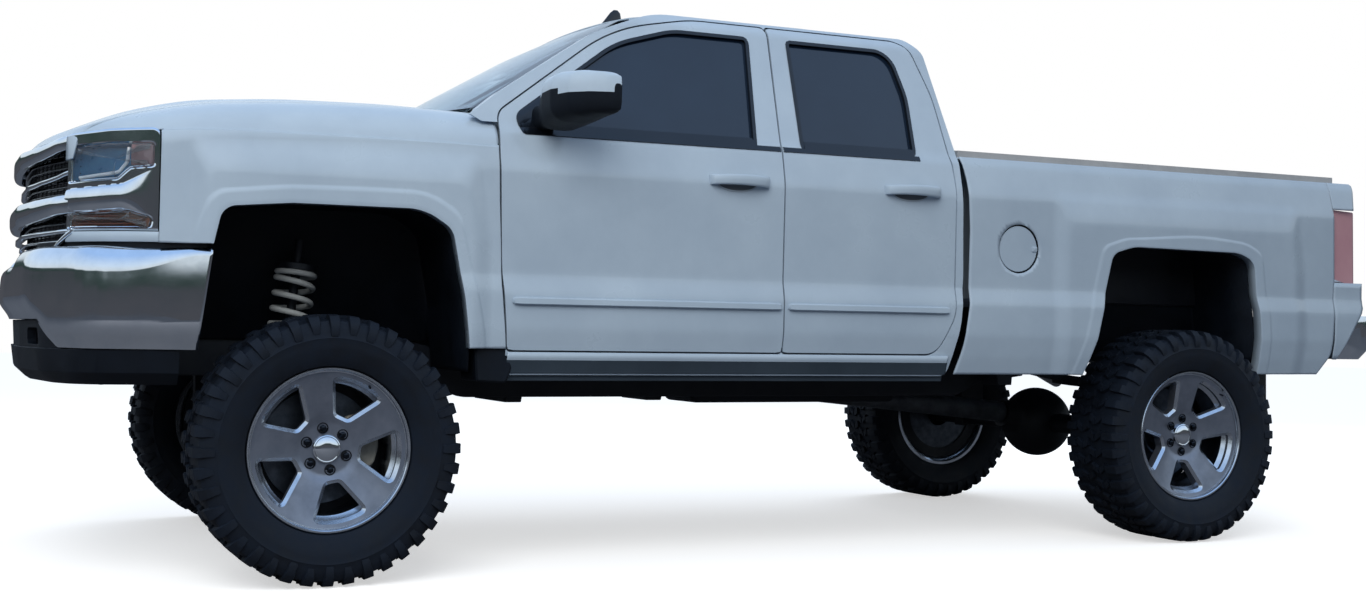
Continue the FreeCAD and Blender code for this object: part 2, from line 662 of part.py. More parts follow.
def grille():
    """Grille: dark back panel and the bright bars that run across it."""
    def band(z0, z1, inset, depth):
        """A bar that follows the grille's plan curve."""
        out = [(x + inset, y, *r) for x, y, *r in GRILLE_PLAN[1:]]
        front = [(GRILLE_PLAN[0][0] + inset, 0)] + out
        back = [(x + depth, y, *r) for x, y, *r in reversed(front)]
        left = [(x, -y, *r) for x, y, *r in reversed(front[1:])]
        left_back = [(x + depth, -y, *r) for x, y, *r in front[1:]]
        return prism("XY", front + back[:-1] + [back[-1]] + left_back + left, z0, z1)
    bars = [band(z0, z1, inset, 75 - inset) for z0, z1, inset in GRILLE_BARS]
    posts = [block(-930, -848, y - 8, y + 8, 1104, 1440) for y in (-420, 0, 420)]
    slats = [band(z - 2, z + 2, 44, 40) for z in GRILLE_SLATS]
    back = block(-872, -848, -640, 640, 1104, 1446)
    return fused(bars + slats + posts + [back])


def front_structure():
    """Radiator support, inner fender walls and the wheel housings over the front tyres."""
    support = block(-800, -770, -560, 560, 760, 1400).cut(block(-900, -700, -420, 420, 860, 1320))
    wall = block(-770, 520, 460, 476, 800, 1440)
    arch = [(-522, 1106), (-380, 1290, 100), (420, 1290, 120), (520, 900), (535, 900), (440, 1306, 120),
            (-392, 1306, 100), (-541, 1106)]
    lid = prism("XZ", arch, 476, 940)
    return fused([support, wall, lid, mirrored(wall), mirrored(lid)])


# ---------------------------------------------------------------- bed

BED_PROFILE = (
    (2466, 699, 20), (2496, 800, 200), (2522, 975, 300), (2524, 1267, 600), (2512, 1465, 300), (2494, 1558, 0),
    (4585, 1558, 12), (4636, 1440, 0), (4478, 1440, 12), (4492, 1120, 12), (4648, 1090, 10), (4648, 985, 10),
    (4530, 938, 30), (4450, 740, 30), (4400, 704, 30),
)


REAR_FLARE = ((2900, 700, 0), (2935, 1150, 200), (2975, 1452, 70), (4180, 1452, 70), (4290, 1380, 80),
              (4320, 1000, 200), (4330, 704, 0))


def bedside():
    """Right bedside: outer skin with its flared arch, top rail and rear post."""
    skin = thin_layer(d["skin"], 2400, 4700, [r for r in SIDE if r[0] <= 1528] + [(1558, 962, 60, 0)])
    panel = skin.common(prism("XZ", BED_PROFILE, 500, 1200))
    flare = flared_patch(REAR_FLARE, 960, 1016, 60)
    rail = block(2494, 4640, 842, 962, 1536, 1558)
    post = block(4560, 4600, 800, 904, 1040, 1536)
    return fused([panel, flare, rail, post]).cut(prism("XZ", REAR_ARCH, 930, 1200))


FUEL_DOOR = (2760, 1200)      # station and height of its centre, on the left bedside
FUEL_DOOR_SKIN, FUEL_DOOR_GAP = 6, 7


def fuel_door():
    """Round filler door, flush with the left bedside."""
    x, z = FUEL_DOOR
    lid = thin_layer(FUEL_DOOR_SKIN, 2600, 2900).common(rod((x, 900, z), (x, 1100, z), d["fuel_door_radius"]))
    return mirrored(lid)


def with_filler(panel):
    """The left bedside, opened for the filler door and backed by the filler's cup."""
    x, z = FUEL_DOOR
    reach = d["fuel_door_radius"] + FUEL_DOOR_GAP
    hole = rod((x, -1100, z), (x, -900, z), reach)
    cup = rod((x, -985, z), (x, -944, z), reach + 8).cut(rod((x, -1000, z), (x, -950, z), reach))
    neck = rod((x + 20, -975, z), (x + 20, -948, z), 32)
    return fused([panel.cut(hole), cup, neck])


def wheel_housing(inset):
    """The space over one rear wheel, drawn in by an inset for the inside of its shell."""
    profile = [(3190, 1000), (3250, 1275, 110), (3990, 1275, 110), (4050, 1000)]
    if inset:
        profile = [(3204, 990), (3262, 1261, 100), (3978, 1261, 100), (4036, 990)]
    return prism("XZ", profile, d["wheelhouse_inner"] + inset, 944 + 3 * inset)


def wheel_housings():
    """The pressed shells over the rear wheels, open towards the wheels."""
    return pair(wheel_housing(0).cut(wheel_housing(12)))


def bed_box():
    """Ribbed load floor, front wall and inner walls, cut out round the wheel housings."""
    top, inner = d["bed_floor_height"], d["bed_inner"]
    floor = block(2530, 4580, -inner, inner, top - 30, top)
    front = block(2530, 2560, -inner, inner, top, 1536)
    wall = block(2530, 4556, inner, inner + 20, top - 30, 1536)
    ribs = [block(2620, 4540, y - 30, y + 30, top - 1, top + 8) for y in range(-560, 561, 160)]
    whole = fused([floor, front, wall, mirrored(wall)] + ribs)
    return whole.cut(wheel_housing(0)).cut(mirrored(wheel_housing(0)))


def tail_lamp():
    """Right tail lamp, wrapped round the bed's rear corner."""
    plan = [(4484, 904), (4484, 986, 6), (4650, 968, 40), (4652, 904)]
    lamp = prism("XY", plan, 1096, 1436)
    outline_side = [(4480, 1436, 12), (4494, 1126, 12), (4640, 1096, 10), (4650, 1430, 30)]
    return lamp.common(prism("XZ", outline_side, 800, 1100))


def tailgate():
    """Tailgate with its pressed outer panel, spoiler lip and handle recess."""
    profile = [(4588, 1050, 10), (4588, 1552, 6), (4662, 1552, 10), (4650, 1490, 10), (4650, 1050, 14)]
    press = [(4640, 1100), (4640, 1340, 8), (4670, 1340), (4670, 1100)]
    recess = [(4630, 1380, 10), (4630, 1440, 10), (4700, 1440), (4700, 1380)]
    keep_padded("tailgate", profile, "Dimensions.tailgate_width",
                (("press", press, "Dimensions.press_width"), ("recess", recess, "Dimensions.handle_width")))


REAR_BUMPER_PLAN = ((4853, 0), (4850, 420, 300), (4815, 860, 120), (4740, 965, 80), (4500, 978, 0))


def rear_wrap(levels, tail):
    """A wrap-round solid for the rear, through plans at several heights, given as (height, inset)."""
    wires = []
    for z, inset in levels:
        right = [(x - inset, y - inset * 0.5, *r) for x, y, *r in REAR_BUMPER_PLAN[1:]]
        right[-1] = (tail, REAR_BUMPER_PLAN[-1][1] - inset, 0)
        left = [(x, -y, *r) for x, y, *r in reversed(right)]
        wires.append(outline("XY", [(REAR_BUMPER_PLAN[0][0] - inset, 0)] + right + left, z))
    return Part.makeLoft(wires, True, True)


def rear_bumper():
    """Rear step bumper: a bright shell with a flat top."""
    hollow = rear_wrap([(700, 66), (810, 34), (940, 26), (948, 30)], 4400)
    shell = rear_wrap([(770, 40), (810, 8), (940, 0), (965, 10)], 4560).cut(hollow)
    shell = shell.cut(prism("YZ", [(-180, 870, 20), (180, 870, 20), (170, 985), (-170, 985)], 4760, 4900))
    return shell.cut(block(4400, 4672, -900, 900, 700, 1000))


# ---------------------------------------------------------------- running gear

# frame rail: station, height of its top, depth there
RAIL = ((-720, 740, 110), (-560, 770, 120), (-420, 800, 130), (420, 800, 140), (620, 735, 145),
        (2850, 735, 145), (3240, 905, 130), (4020, 905, 130), (4300, 840, 120), (4690, 840, 120))
CROSSMEMBERS = ((-690, 640, 730), (2700, 700, 735), (3300, 800, 880), (4250, 730, 830), (4660, 730, 830))
# station, reach of the low part to the left and to the right of the centre line
SLUNG_MEMBERS = ((890, 240, 110), (1560, 110, 110))


def slung_member(station, left, right):
    """A crossmember that dips between the rails, under the gearbox and the propeller shaft."""
    upper = [(-390, 720), (-left - 40, 720), (-left, 604), (right, 604), (right + 40, 720), (390, 720)]
    lower = [(390, 672), (right + 70, 672), (right + 20, 560), (-left - 20, 560), (-left - 70, 672),
             (-390, 672)]
    return prism("YZ", upper + lower, station - 35, station + 35)


def rails():
    """The two rails of the ladder frame, kicked up over the front wheels and the rear axle."""
    top = [(x, z, 60) for x, z, _depth in RAIL]
    bottom = [(x, z - depth, 60) for x, z, depth in reversed(RAIL)]
    return pair(prism("XZ", top + bottom, d["rail_inner"], d["rail_outer"]))


def crossmembers():
    """The members between the rails, two of them slung under the gearbox and the propeller shaft."""
    reach = d["rail_inner"]
    straight = [block(x - 35, x + 35, -reach, reach, low, high) for x, low, high in CROSSMEMBERS]
    return Part.makeCompound(straight + [slung_member(*row) for row in SLUNG_MEMBERS])


def hitch():
    """Tow bar under the rails' ends, and the receiver tube with its square socket and pin hole."""
    size, bore, z = d["receiver_size"], d["receiver_bore"], d["receiver_height"]
    bar = rod((4640, -425, z), (4640, 425, z), 32)
    plate = block(4590, 4690, 400, 412, z - 40, RAIL[-1][1] - RAIL[-1][2])
    receiver = block(4600, 4846, -size / 2, size / 2, z - size / 2, z + size / 2)
    whole = fused([bar, plate, mirrored(plate), receiver])
    whole = whole.cut(block(4682, 4900, -bore / 2, bore / 2, z - bore / 2, z + bore / 2))
    return whole.cut(rod((4776, -60, z), (4776, 60, z), d["hitch_pin_radius"]))


def lift_crossmembers():
    """Drop crossmembers that carry the lower arms below the frame."""
    right = [(300, 372, 40), (360, 470, 40), (392, 664), (455, 664), (420, 330, 40), (300, 290, 30)]
    left = [(-y, *rest) for y, *rest in reversed(right)]

    def drop(x):
        """One dropped beam across the frame."""
        return prism("YZ", right + left, x - 30, x + 30)
    x, z = d["rack_station"], d["tyre_radius"] - d["rack_drop"]
    passage = rod((x, -500, z), (x, 500, z), d["rack_radius"] + 8)
    return Part.makeCompound([drop(-215).cut(passage), drop(215)])


def front_suspension():
    """Lower and upper control arms of both sides."""
    y_pin = d["kingpin_y"]
    wide = [(-275, 430, 20), (-145, 430, 20), (-70, 560, 80), (70, 560, 80), (145, 430, 20), (275, 430, 20),
            (60, y_pin + 20, 40), (-60, y_pin + 20, 40)]
    slim = [(-255, 460, 20), (-205, 460, 20), (-40, 716, 40), (40, 716, 40), (205, 460, 20), (255, 460, 20),
            (45, y_pin + 12, 36), (-45, y_pin + 12, 36)]
    lower, upper = prism("XY", wide, 300, 340), prism("XY", slim, 632, 656)
    return Part.makeCompound(solids_of(pair(lower)) + solids_of(pair(upper)))


STRUT_FOOT, STRUT_HEAD = V(-118, 610, 342), V(-22, 560, 1180)
# shares of the strut's length: lower seat, spring, upper seat
SEAT_LOW, SPRING_LOW, SPRING_HIGH, SEAT_HIGH = 0.415, 0.44, 0.86, 0.90


def coil_spring(length):
    """A helical spring standing at the origin along +Z; its end turns run into the seats."""
    sunk, steps = 6, 10
    rise, reach = length + 2 * sunk, d["coil_radius"]
    count = round(steps * rise / d["coil_pitch"])
    turn = 2 * math.pi / steps
    path = [V(reach * math.cos(turn * k), reach * math.sin(turn * k), rise * k / count - sunk)
            for k in range(count + 1)]
    wire = Part.Wire(Part.makeCircle(d["coil_wire"], path[0], path[1] - path[0]))
    return Part.makePolygon(path).makePipeShell([wire], True, False, 1)


def struts():
    """Coil-over struts: damper body, helical spring between its seats, and top mount."""
    axis = STRUT_HEAD - STRUT_FOOT

    def at(share):
        """A point along the strut."""
        p = STRUT_FOOT + axis * share
        return (p.x, p.y, p.z)
    body = rod(at(0.0), at(0.62), 28)
    piston = rod(at(0.6), at(0.97), 18)
    spring = coil_spring(axis.Length * (SPRING_HIGH - SPRING_LOW))
    spring.Placement = FreeCAD.Placement(V(*at(SPRING_LOW)), FreeCAD.Rotation(V(0, 0, 1), axis))
    seats = [rod(at(SEAT_LOW), at(SPRING_LOW), 74), rod(at(SPRING_HIGH), at(SEAT_HIGH), 78)]
    return pair(body.multiFuse([piston, spring] + seats))


def knuckle():
    """Right steering knuckle with its hub, steering arm and brake caliper."""
    y_pin = d["kingpin_y"]
    z = d["tyre_radius"]
    upright = block(-34, 34, y_pin - 30, y_pin + 30, 345, 627)
    hub = rod((0, y_pin, z), (0, y_pin + 40, z), 62)
    horn = [(-30, y_pin - 30), (-170, y_pin - 34, 10), (-170, y_pin - 8, 10), (-20, y_pin + 20)]
    arm = prism("XY", horn, z - 60, z - 32)
    housing = [(96, z - 80, 10), (176, z - 80, 30), (205, z, 90), (176, z + 80, 30), (96, z + 80, 10)]
    caliper = prism("XZ", housing, y_pin - 5, y_pin + 100)
    slot = rod((0, y_pin + 40, z), (0, y_pin + 84, z), d["disc_radius"] + 6)
    bridge = block(0, 110, y_pin - 5, y_pin + 22, z - 30, z + 30)
    return fused([upright, hub, arm, caliper.cut(slot), bridge])


def tie_rods():
    """Steering rack and the two tie rods that reach the knuckles, all on one line."""
    x, z = d["rack_station"], d["tyre_radius"] - d["rack_drop"]
    rack = primitive("Part::Cylinder", "Rack", (x, -d["rack_reach"], z), (0, 1, 0),
                     Radius="Dimensions.rack_radius", Height="2 * Dimensions.rack_reach")
    rods = primitive("Part::Cylinder", "TieRods", (x, -d["rod_reach"], z), (0, 1, 0),
                     Radius="Dimensions.rod_radius", Height="2 * Dimensions.rod_reach")
    keep_joined("tie_rods", [rack, rods])


def driveline():
    """Gearbox, transfer case, front differential, half shafts and both propeller shafts."""
    z = d["tyre_radius"]
    gearbox = rod((366, 0, 780), (960, 0, 720), 150, 110)
    case = prism("YZ", [(-260, 600, 30), (130, 600, 30), (130, 782, 30), (-260, 782, 30)], 960, 1240)
    rear_shaft = rod((1236, 0, 708), (3436, 0, 492), d["shaft_radius"])
    front_shaft = rod((960, -200, 700), (170, -140, 470), 26)
    differential = fused([rod((-120, -120, z), (170, -120, z), 112), rod((0, -300, z), (0, 240, z), 60)])
    halves = [rod((0, 240, z), (0, 690, z), 20), rod((0, -690, z), (0, -300, z), 20)]
    boots = [rod((0, 250, z), (0, 350, z), 45, 32), rod((0, 600, z), (0, 690, z), 30, 40)]
    boots += [rod((0, -310, z), (0, -400, z), 45, 32), rod((0, -600, z), (0, -690, z), 30, 40)]
    front = fused([differential, front_shaft] + halves + boots)
    pieces = [fused([gearbox, case]), rear_shaft.cut(case), front.cut(case)]
    return Part.makeCompound([solid for piece in pieces for solid in solids_of(piece)])


def rear_axle():
    """Live rear axle: tubes, centre casing, pinion nose and spring perches."""
    x, z = d["wheelbase"], d["tyre_radius"]
    nose_start, nose_end = V(x - 205, 0, z + 40), V(x - 90, 0, z + 20)
    members = [
        primitive("Part::Cylinder", "AxleTube", (x, -d["axle_tube_reach"], z), (0, 1, 0),
                  Radius="Dimensions.axle_tube_radius", Height="2 * Dimensions.axle_tube_reach"),
        primitive("Part::Sphere", "DifferentialCase", (x, 0, z), Radius="Dimensions.differential_radius"),
        primitive("Part::Cone", "PinionNose", nose_start, nose_end - nose_start,
                  Radius1="Dimensions.pinion_radius", Radius2="Dimensions.pinion_root_radius"),
    ]
    members[-1].Height = (nose_end - nose_start).Length
    for side in (-1, 1):
        corner = (x - d["perch_length"] / 2, side * d["spring_centre"] - d["perch_width"] / 2, z - 50)
        members.append(primitive("Part::Box", "SpringPerch", corner, Length="Dimensions.perch_length",
                                 Width="Dimensions.perch_width", Height="Dimensions.perch_height"))
    keep_joined("rear_axle", members)


LEAVES = ((3020, 4270, 0), (3170, 4120, 1), (3330, 3960, 2))   # start, end, place in the pack


def leaf_springs():
    """Leaf packs with lift blocks, hangers, shackles and the dampers beside them."""
    x, z = d["wheelbase"], d["tyre_radius"]
    seat = z + 62 + 118
    y0, y1 = 503, 567
    pieces = []
    for start, end, place in LEAVES:
        sag = 92.0 * ((end - start) / 1250.0) ** 2
        low = seat + 28 - place * 14
        outer = Part.Arc(V(start, y0, low + sag), V(x, y0, low), V(end, y0, low + sag)).toShape()
        high = low + 14
        upper = Part.Arc(V(end, y0, high + sag), V(x, y0, high), V(start, y0, high + sag)).toShape()
        ends = [Part.LineSegment(V(end, y0, low + sag), V(end, y0, high + sag)).toShape(),
                Part.LineSegment(V(start, y0, high + sag), V(start, y0, low + sag)).toShape()]
        pieces.append(Part.Face(Part.Wire([outer, ends[0], upper, ends[1]])).extrude(V(0, y1 - y0, 0)))
    pieces.append(block(x - 65, x + 65, y0, y1, z + 62, seat + 6))
    pieces.append(block(x - 75, x + 75, y0 - 6, y1 + 6, seat + 38, seat + 56))
    hanger = prism("XZ", [(2985, 640), (3055, 640), (3075, 850), (2965, 760)], 460, 575)
    shackle = prism("XZ", [(4245, 700), (4290, 700), (4300, 850), (4235, 850)], 460, 575)
    return pair(fused(pieces + [hanger, shackle]))


def exhaust():
    """Exhaust: front pipe, silencer, and tail pipe over the axle to behind the right rear wheel."""
    front = tube_along([(700, 260, 640), (1150, 290, 600), (1800, 290, 640), (2010, 280, 650)], 32, 150)
    silencer = rod((2000, 280, 650), (2620, 280, 650), 96)
    tail = tube_along([(2610, 280, 650), (3180, 290, 690), (3420, 290, 700), (3640, 300, 722),
                       (3900, 320, 690), (4180, 560, 640), (4420, 800, 610)], 32, 160)
    return fused([front, silencer, tail])


# ---------------------------------------------------------------- cab inside

def dashboard():
    """Instrument panel, centre stack and steering column."""
    top = [(652, 1200, 20), (652, 1470, 10), (700, 1560, 30), (960, 1520, 60), (1010, 1400, 60),
           (900, 1180, 40)]
    console = [(700, 945), (700, 1300), (980, 1300, 30), (1080, 1100, 60), (1480, 1080, 30), (1500, 945)]
    panel, stack = prism("XZ", top, -820, 820), prism("XZ", console, -140, 140)
    column = rod((900, -380, 1330), (1100, -380, 1395), 38)
    return fused([panel, stack, column]).common(cab_inner(600, 2400))


def steering_wheel():
    """Steering wheel: rim, three spokes and hub."""
    centre, tilt = V(1140, -380, 1410), V(0.94, 0, 0.34)
    tilt.normalize()
    reach = "Dimensions.steering_wheel_radius"
    members = [
        primitive("Part::Torus", "SteeringRim", centre, tilt, Radius1=reach,
                  Radius2="Dimensions.steering_grip_radius"),
        primitive("Part::Cylinder", "SteeringHub", centre - tilt * d["steering_hub_depth"], tilt,
                  Radius="Dimensions.steering_hub_radius", Height="Dimensions.steering_hub_depth"),
    ]
    across = V(0, 1, 0)
    for way in (across, across * -1, tilt.cross(across)):
        spoke = primitive("Part::Cylinder", "SteeringSpoke", centre - tilt * 12, way + tilt * 0.06,
                          Radius="Dimensions.steering_spoke_radius", Height=reach)
        members.append(spoke)
    keep_joined("steering_wheel", members)


def seat_solid(x, y0, y1, headrests):
    """A seat between two widths: cushion, backrest and headrests."""
    cushion = prism("XZ", [(x, 985, 30), (x - 20, 1140, 60), (x + 480, 1110, 30), (x + 470, 985, 20)], y0, y1)
    squab = [(x + 400, 1085, 30), (x + 560, 1760, 60), (x + 655, 1740, 60), (x + 560, 1020, 60)]
    back = prism("XZ", squab, y0 + 10, y1 - 10)
    pad = [(x + 572, 1750, 10), (x + 560, 1905, 40), (x + 650, 1900, 40), (x + 650, 1735, 10)]
    rests = [prism("XZ", pad, centre - 125, centre + 125) for centre in headrests]
    base = block(x + 60, x + 420, y0 + 60, y1 - 60, d["floor_height"], 1000)
    return fused([cushion, back, base] + rests)


def seats():
    """Two front seats and the rear bench."""
    right = seat_solid(1060, 190, 720, [455])
    bench = seat_solid(1730, -700, 700, [-430, 430])
    return Part.makeCompound(solids_of(right) + solids_of(mirrored(right)) + solids_of(bench))


def cowl():
    """Black panel at the foot of the windshield."""
    keep_padded("cowl", [(478, 1572), (478, 1618), (590, 1600), (590, 1572)], "Dimensions.cowl_width")


def mirror_piece():
    """Right door mirror: foot on the door, arm and head."""
    foot = prism("XZ", [(668, 1552, 20), (664, 1606, 20), (800, 1668, 30), (800, 1552, 20)], 930, 975)
    foot = foot.cut(side_layer(0, 1.5, 600, 900))
    arm = prism("XY", [(700, 950), (716, 1070), (800, 1080), (790, 950)], 1560, 1610)
    arm = arm.cut(side_layer(0, 1.5, 600, 900))
    plan = [(724, 1046, 30), (760, 1160, 60), (812, 1262, 40), (905, 1268, 24), (890, 1046, 20)]
    head = prism("XY", plan, 1546, 1722)
    front_view = [(1040, 1556, 30), (1044, 1668, 40), (1100, 1712, 60), (1262, 1722, 40), (1272, 1584, 40),
                  (1200, 1546, 60)]
    head = head.common(prism("YZ", front_view, 600, 1000))
    return fused([foot, arm, head])


def tonneau():
    """Low load cover on the bed rails: slim side rails and the skin between them."""
    side = block(2530, 4578, 850, 905, 1558, 1592)
    skin = prism("YZ", [(-870, 1582), (870, 1582), (860, 1598, 10), (0, 1606), (-860, 1598, 10)], 2530, 4578)
    bows = [block(x - 15, x + 15, -860, 860, 1564, 1584) for x in (2560, 3060, 3560, 4060, 4560)]
    return fused([side, mirrored(side), skin] + bows)


def antenna():
    """Roof antenna fin, its foot along the crest of the roof."""
    foot = [(x, z) for x in (1322, 1450) for z in [roof_crest(x)]]
    keep_padded("antenna", [foot[0], (1400, 2196, 10), (1442, 2196, 8), foot[1]], "Dimensions.antenna_width")


# ---------------------------------------------------------------- wheels

RIM_PROFILE = (   # along the axle, radius
    (-122, 271), (-113, 271), (-111, 256), (-92, 256), (-78, 230), (66, 230), (84, 256), (111, 256),
    (113, 271), (122, 271), (122, 261), (112, 248), (100, 226), (86, 120), (74, 92), (66, 70), (70, 40), (70, 0), (38, 0),
    (38, 92), (58, 120), (66, 218), (-72, 218), (-82, 226), (-100, 244), (-114, 248), (-122, 258),
)
SPOKE_WINDOW = ((-24, 112, 10), (24, 112, 10), (84, 198, 14), (0, 222, 216), (-84, 198, 14))


def rim_master():
    """The wheel rim about the Y axis, outer face at +Y: revolved section, then the spoke openings."""
    body = doc.addObject("PartDesign::Body", "RimMaster")
    ring = sketch_on(body, "YZ_Plane", flat_edges(RIM_PROFILE), "RimSection")
    turn = body.newObject("PartDesign::Revolution", "RimRevolution")
    turn.Profile = ring
    turn.ReferenceAxis = (ring, ["H_Axis"])
    turn.Angle = 360
    doc.recompute()
    downwards = [(a, -b, *r) for a, b, *r in SPOKE_WINDOW]
    cut_shape = sketch_on(body, "XZ_Plane", flat_edges(downwards), "SpokeWindow")
    pocket = body.newObject("PartDesign::Pocket", "SpokeOpening")
    pocket.Profile = cut_shape
    pocket.Type = 1
    pocket.Midplane = True
    doc.recompute()
    before = turn.Shape.Volume
    if before - pocket.Shape.Volume < 1000:
        raise RuntimeError("the spoke opening cuts nothing")
    pattern = body.newObject("PartDesign::PolarPattern", "SpokeOpenings")
    pattern.Originals = [pocket]
    pattern.Axis = (ring, ["H_Axis"])
    pattern.Angle = 360
    pattern.setExpression("Occurrences", "Dimensions.spokes")
    body.Tip = pattern
    doc.recompute()
    return body


TYRE_PROFILE = (   # along the axle, radius
    (-110, 256), (-110, 272), (-128, 281), (-156, 345), (-150, 405), (-128, 430),
    (128, 430), (150, 405), (156, 345), (128, 281), (110, 272), (110, 256),
)


def tyre_master():
    """The tyre about the Y axis: revolved carcass and two staggered rows of shoulder lugs."""
    body = doc.addObject("PartDesign::Body", "TyreMaster")
    ring = sketch_on(body, "YZ_Plane", flat_edges(TYRE_PROFILE), "TyreSection")
    turn = body.newObject("PartDesign::Revolution", "TyreRevolution")
    turn.Profile = ring
    turn.ReferenceAxis = (ring, ["H_Axis"])
    turn.Angle = 360
    doc.recompute()
    tip = d["tyre_radius"]
    lug = [(34, 422), (34, tip), (126, tip), (150, 424), (156, 392), (140, 388), (120, 420)]
    for name, sign in (("OuterLug", 1), ("InnerLug", -1)):
        shape = sketch_on(body, "YZ_Plane", flat_edges([(sign * a, b) for a, b in lug]), name + "Section")
        pad = body.newObject("PartDesign::Pad", name)
        pad.Profile = shape
        pad.Midplane = True
        pad.setExpression("Length", "2 * Dimensions.lug_half_length")
        doc.recompute()
        pattern = body.newObject("PartDesign::PolarPattern", name + "Row")
        pattern.Originals = [pad]
        pattern.Axis = (ring, ["H_Axis"])
        pattern.Angle = 360
        pattern.setExpression("Occurrences", "Dimensions.lug_pitches")
        body.Tip = pattern
        doc.recompute()
    return body


# each wheel as it stands: end, side, how far it has rolled from a spoke upright, in degrees
WHEELS = (("front", "right", 14), ("front", "left", -11), ("rear", "right", -22), ("rear", "left", 2.5))


def wheel_pieces():
    """The four wheels: each a rim with its brake disc, and a tyre."""
    rim, tyre = rim_master(), tyre_master()
    disc = Part.makeCylinder(d["disc_radius"], 26, V(0, -90, 0), V(0, 1, 0))
    hat = Part.makeCylinder(86, 132, V(0, -90, 0), V(0, 1, 0))
    whole = fused([rim.Shape.copy(), disc, hat])
    stations = {"front": 0.0, "rear": d["wheelbase"]}
    for end, side, rolled in WHEELS:
        facing = 1 if side == "right" else -1
        outwards = FreeCAD.Rotation(V(0, 0, 1), 0 if facing > 0 else 180)
        turn = FreeCAD.Rotation(V(0, 1, 0), rolled).multiply(outwards)
        at = (stations[end], facing * d["half_track"], d["tyre_radius"])
        keep(f"rim_{end}_{side}", whole, turn, at)
        keep(f"tyre_{end}_{side}", tyre.Shape.copy(), turn, at)


# ---------------------------------------------------------------- parametric primitives

def engine_block():
    """The engine as one plain block, sized and placed by the sheet."""
    box = doc.addObject("Part::Box", "EngineBlock")
    box.setExpression("Length", "Dimensions.engine_length")
    box.setExpression("Width", "Dimensions.engine_width")
    box.setExpression("Height", "Dimensions.engine_height")
    box.Label = "engine"
    corner = V(d["engine_front"], -d["engine_width"] / 2, d["engine_base"])
    box.Placement = FreeCAD.Placement(HOME + corner, FreeCAD.Rotation())
    exports.append(box)


def fuel_tank():
    """Fuel tank between the left rail and the propeller shaft, its edges rounded."""
    box = doc.addObject("Part::Box", "TankBlock")
    box.setExpression("Length", "Dimensions.tank_length")
    box.setExpression("Width", "Dimensions.tank_width")
    box.setExpression("Height", "Dimensions.tank_height")
    doc.recompute()
    rounded = doc.addObject("Part::Fillet", "TankRounded")
    rounded.Base = box
    rounded.Edges = [(i + 1, 30.0, 30.0) for i in range(12)]
    rounded.Label = "fuel_tank"
    rounded.Placement = FreeCAD.Placement(HOME + V(1620, -382, 560), FreeCAD.Rotation())
    exports.append(rounded)


def build():
    """Makes every sub-part in turn."""
    outer, inner = nose_solid(0), nose_solid(d["skin"])
    shell = outer.cut(inner)
    ladder, arms = rails(), front_suspension()
    fenders = pair(front_fender(shell))
    keep("frame", ladder)
    keep("crossmembers", crossmembers())
    keep("hitch", hitch())
    keep("lift_crossmembers", lift_crossmembers().cut(ladder))
    keep("control_arms", arms)
    keep("struts", struts().cut(arms))
    engine_block()
    fuel_tank()
    keep("driveline", driveline())
    rear_axle()
    keep("leaf_springs", leaf_springs())
    keep("exhaust", exhaust())
    keep("cab_sides", pair(cab_side(outer)))
    keep("cab_floor", cab_floor())
    keep("cab_back", cab_back())
    keep("rear_window", back_glass())
    keep("roof_panel", roof_panel())
    keep("windshield", windshield())
    cowl()
    antenna()
    keep("dashboard", dashboard())
    steering_wheel()
    keep("seats", seats())
    keep("front_fenders", fenders)
    keep("front_structure", front_structure().cut(fenders))
    keep("headlamps", pair(headlamp(outer)))
    keep("grille", grille())
    keep("front_bumper", front_bumper())
    keep("front_valance", front_valance())
    right_bedside = bedside()
    keep("bedsides", Part.makeCompound([right_bedside, with_filler(mirrored(right_bedside))]))
    keep("fuel_door", fuel_door())
    keep("bed_box", bed_box())
    keep("wheel_housings", wheel_housings())
    keep("tail_lamps", pair(tail_lamp()))
    keep("rear_bumper", rear_bumper())
    keep("tonneau_cover", tonneau())
    tie_rods()
    keep("hood", hood(shell))
    tailgate()
    doors = (
        ("front", FRONT_DOOR, FRONT_WINDOW, (1374, 1621), (622, 1676)),
        ("rear", REAR_DOOR, REAR_WINDOW, (2127, 2380), (1704, 2424)),
    )
    mirror = mirror_piece()
    right_knuckle = knuckle()
    for end, profile, window, handle, moulding in doors:
        shell_piece, pane = door_shell(profile, window, handle, moulding), window_pane(window)
        keep(f"door_{end}_right", shell_piece)
        keep(f"door_{end}_left", mirrored(shell_piece))
        keep(f"glass_{end}_right", pane)
        keep(f"glass_{end}_left", mirrored(pane))
    keep("mirror_right", mirror)
    keep("mirror_left", mirrored(mirror))
    keep("knuckle_right", right_knuckle)
    keep("knuckle_left", mirrored(right_knuckle))
    wheel_pieces()


def write_parts():
    """Checks every object and sub-part, and writes each to its own STEP file."""
    doc.recompute()
    for thing in doc.Objects:
        if {"Invalid", "Error"} & set(thing.State):
            raise RuntimeError(f"{thing.Name} failed: {thing.State}")
    os.makedirs(OUT, exist_ok=True)
    for thing in exports:
        shape = thing.Shape
        if shape.isNull() or not shape.isValid() or not shape.Solids:
            raise RuntimeError(f"{thing.Label} has no valid solid")
        shape.exportStep(os.path.join(OUT, thing.Label + ".step"))


build()
write_parts()
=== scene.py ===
"""Looks of a lifted extended-cab pickup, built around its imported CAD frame.

Every surface here is worked out on station axes, in metres: x rearward from the front axle, y to the
vehicle's right, z up from the ground. `to_frame` carries them to the frame, whose origin is at the middle
of the vehicle's length.
"""

from __future__ import annotations

import logging
import math
from dataclasses import dataclass, field
from enum import Enum
from typing import Callable, Sequence

import bmesh
import bpy
import numpy as np
from mathutils import Matrix, Vector


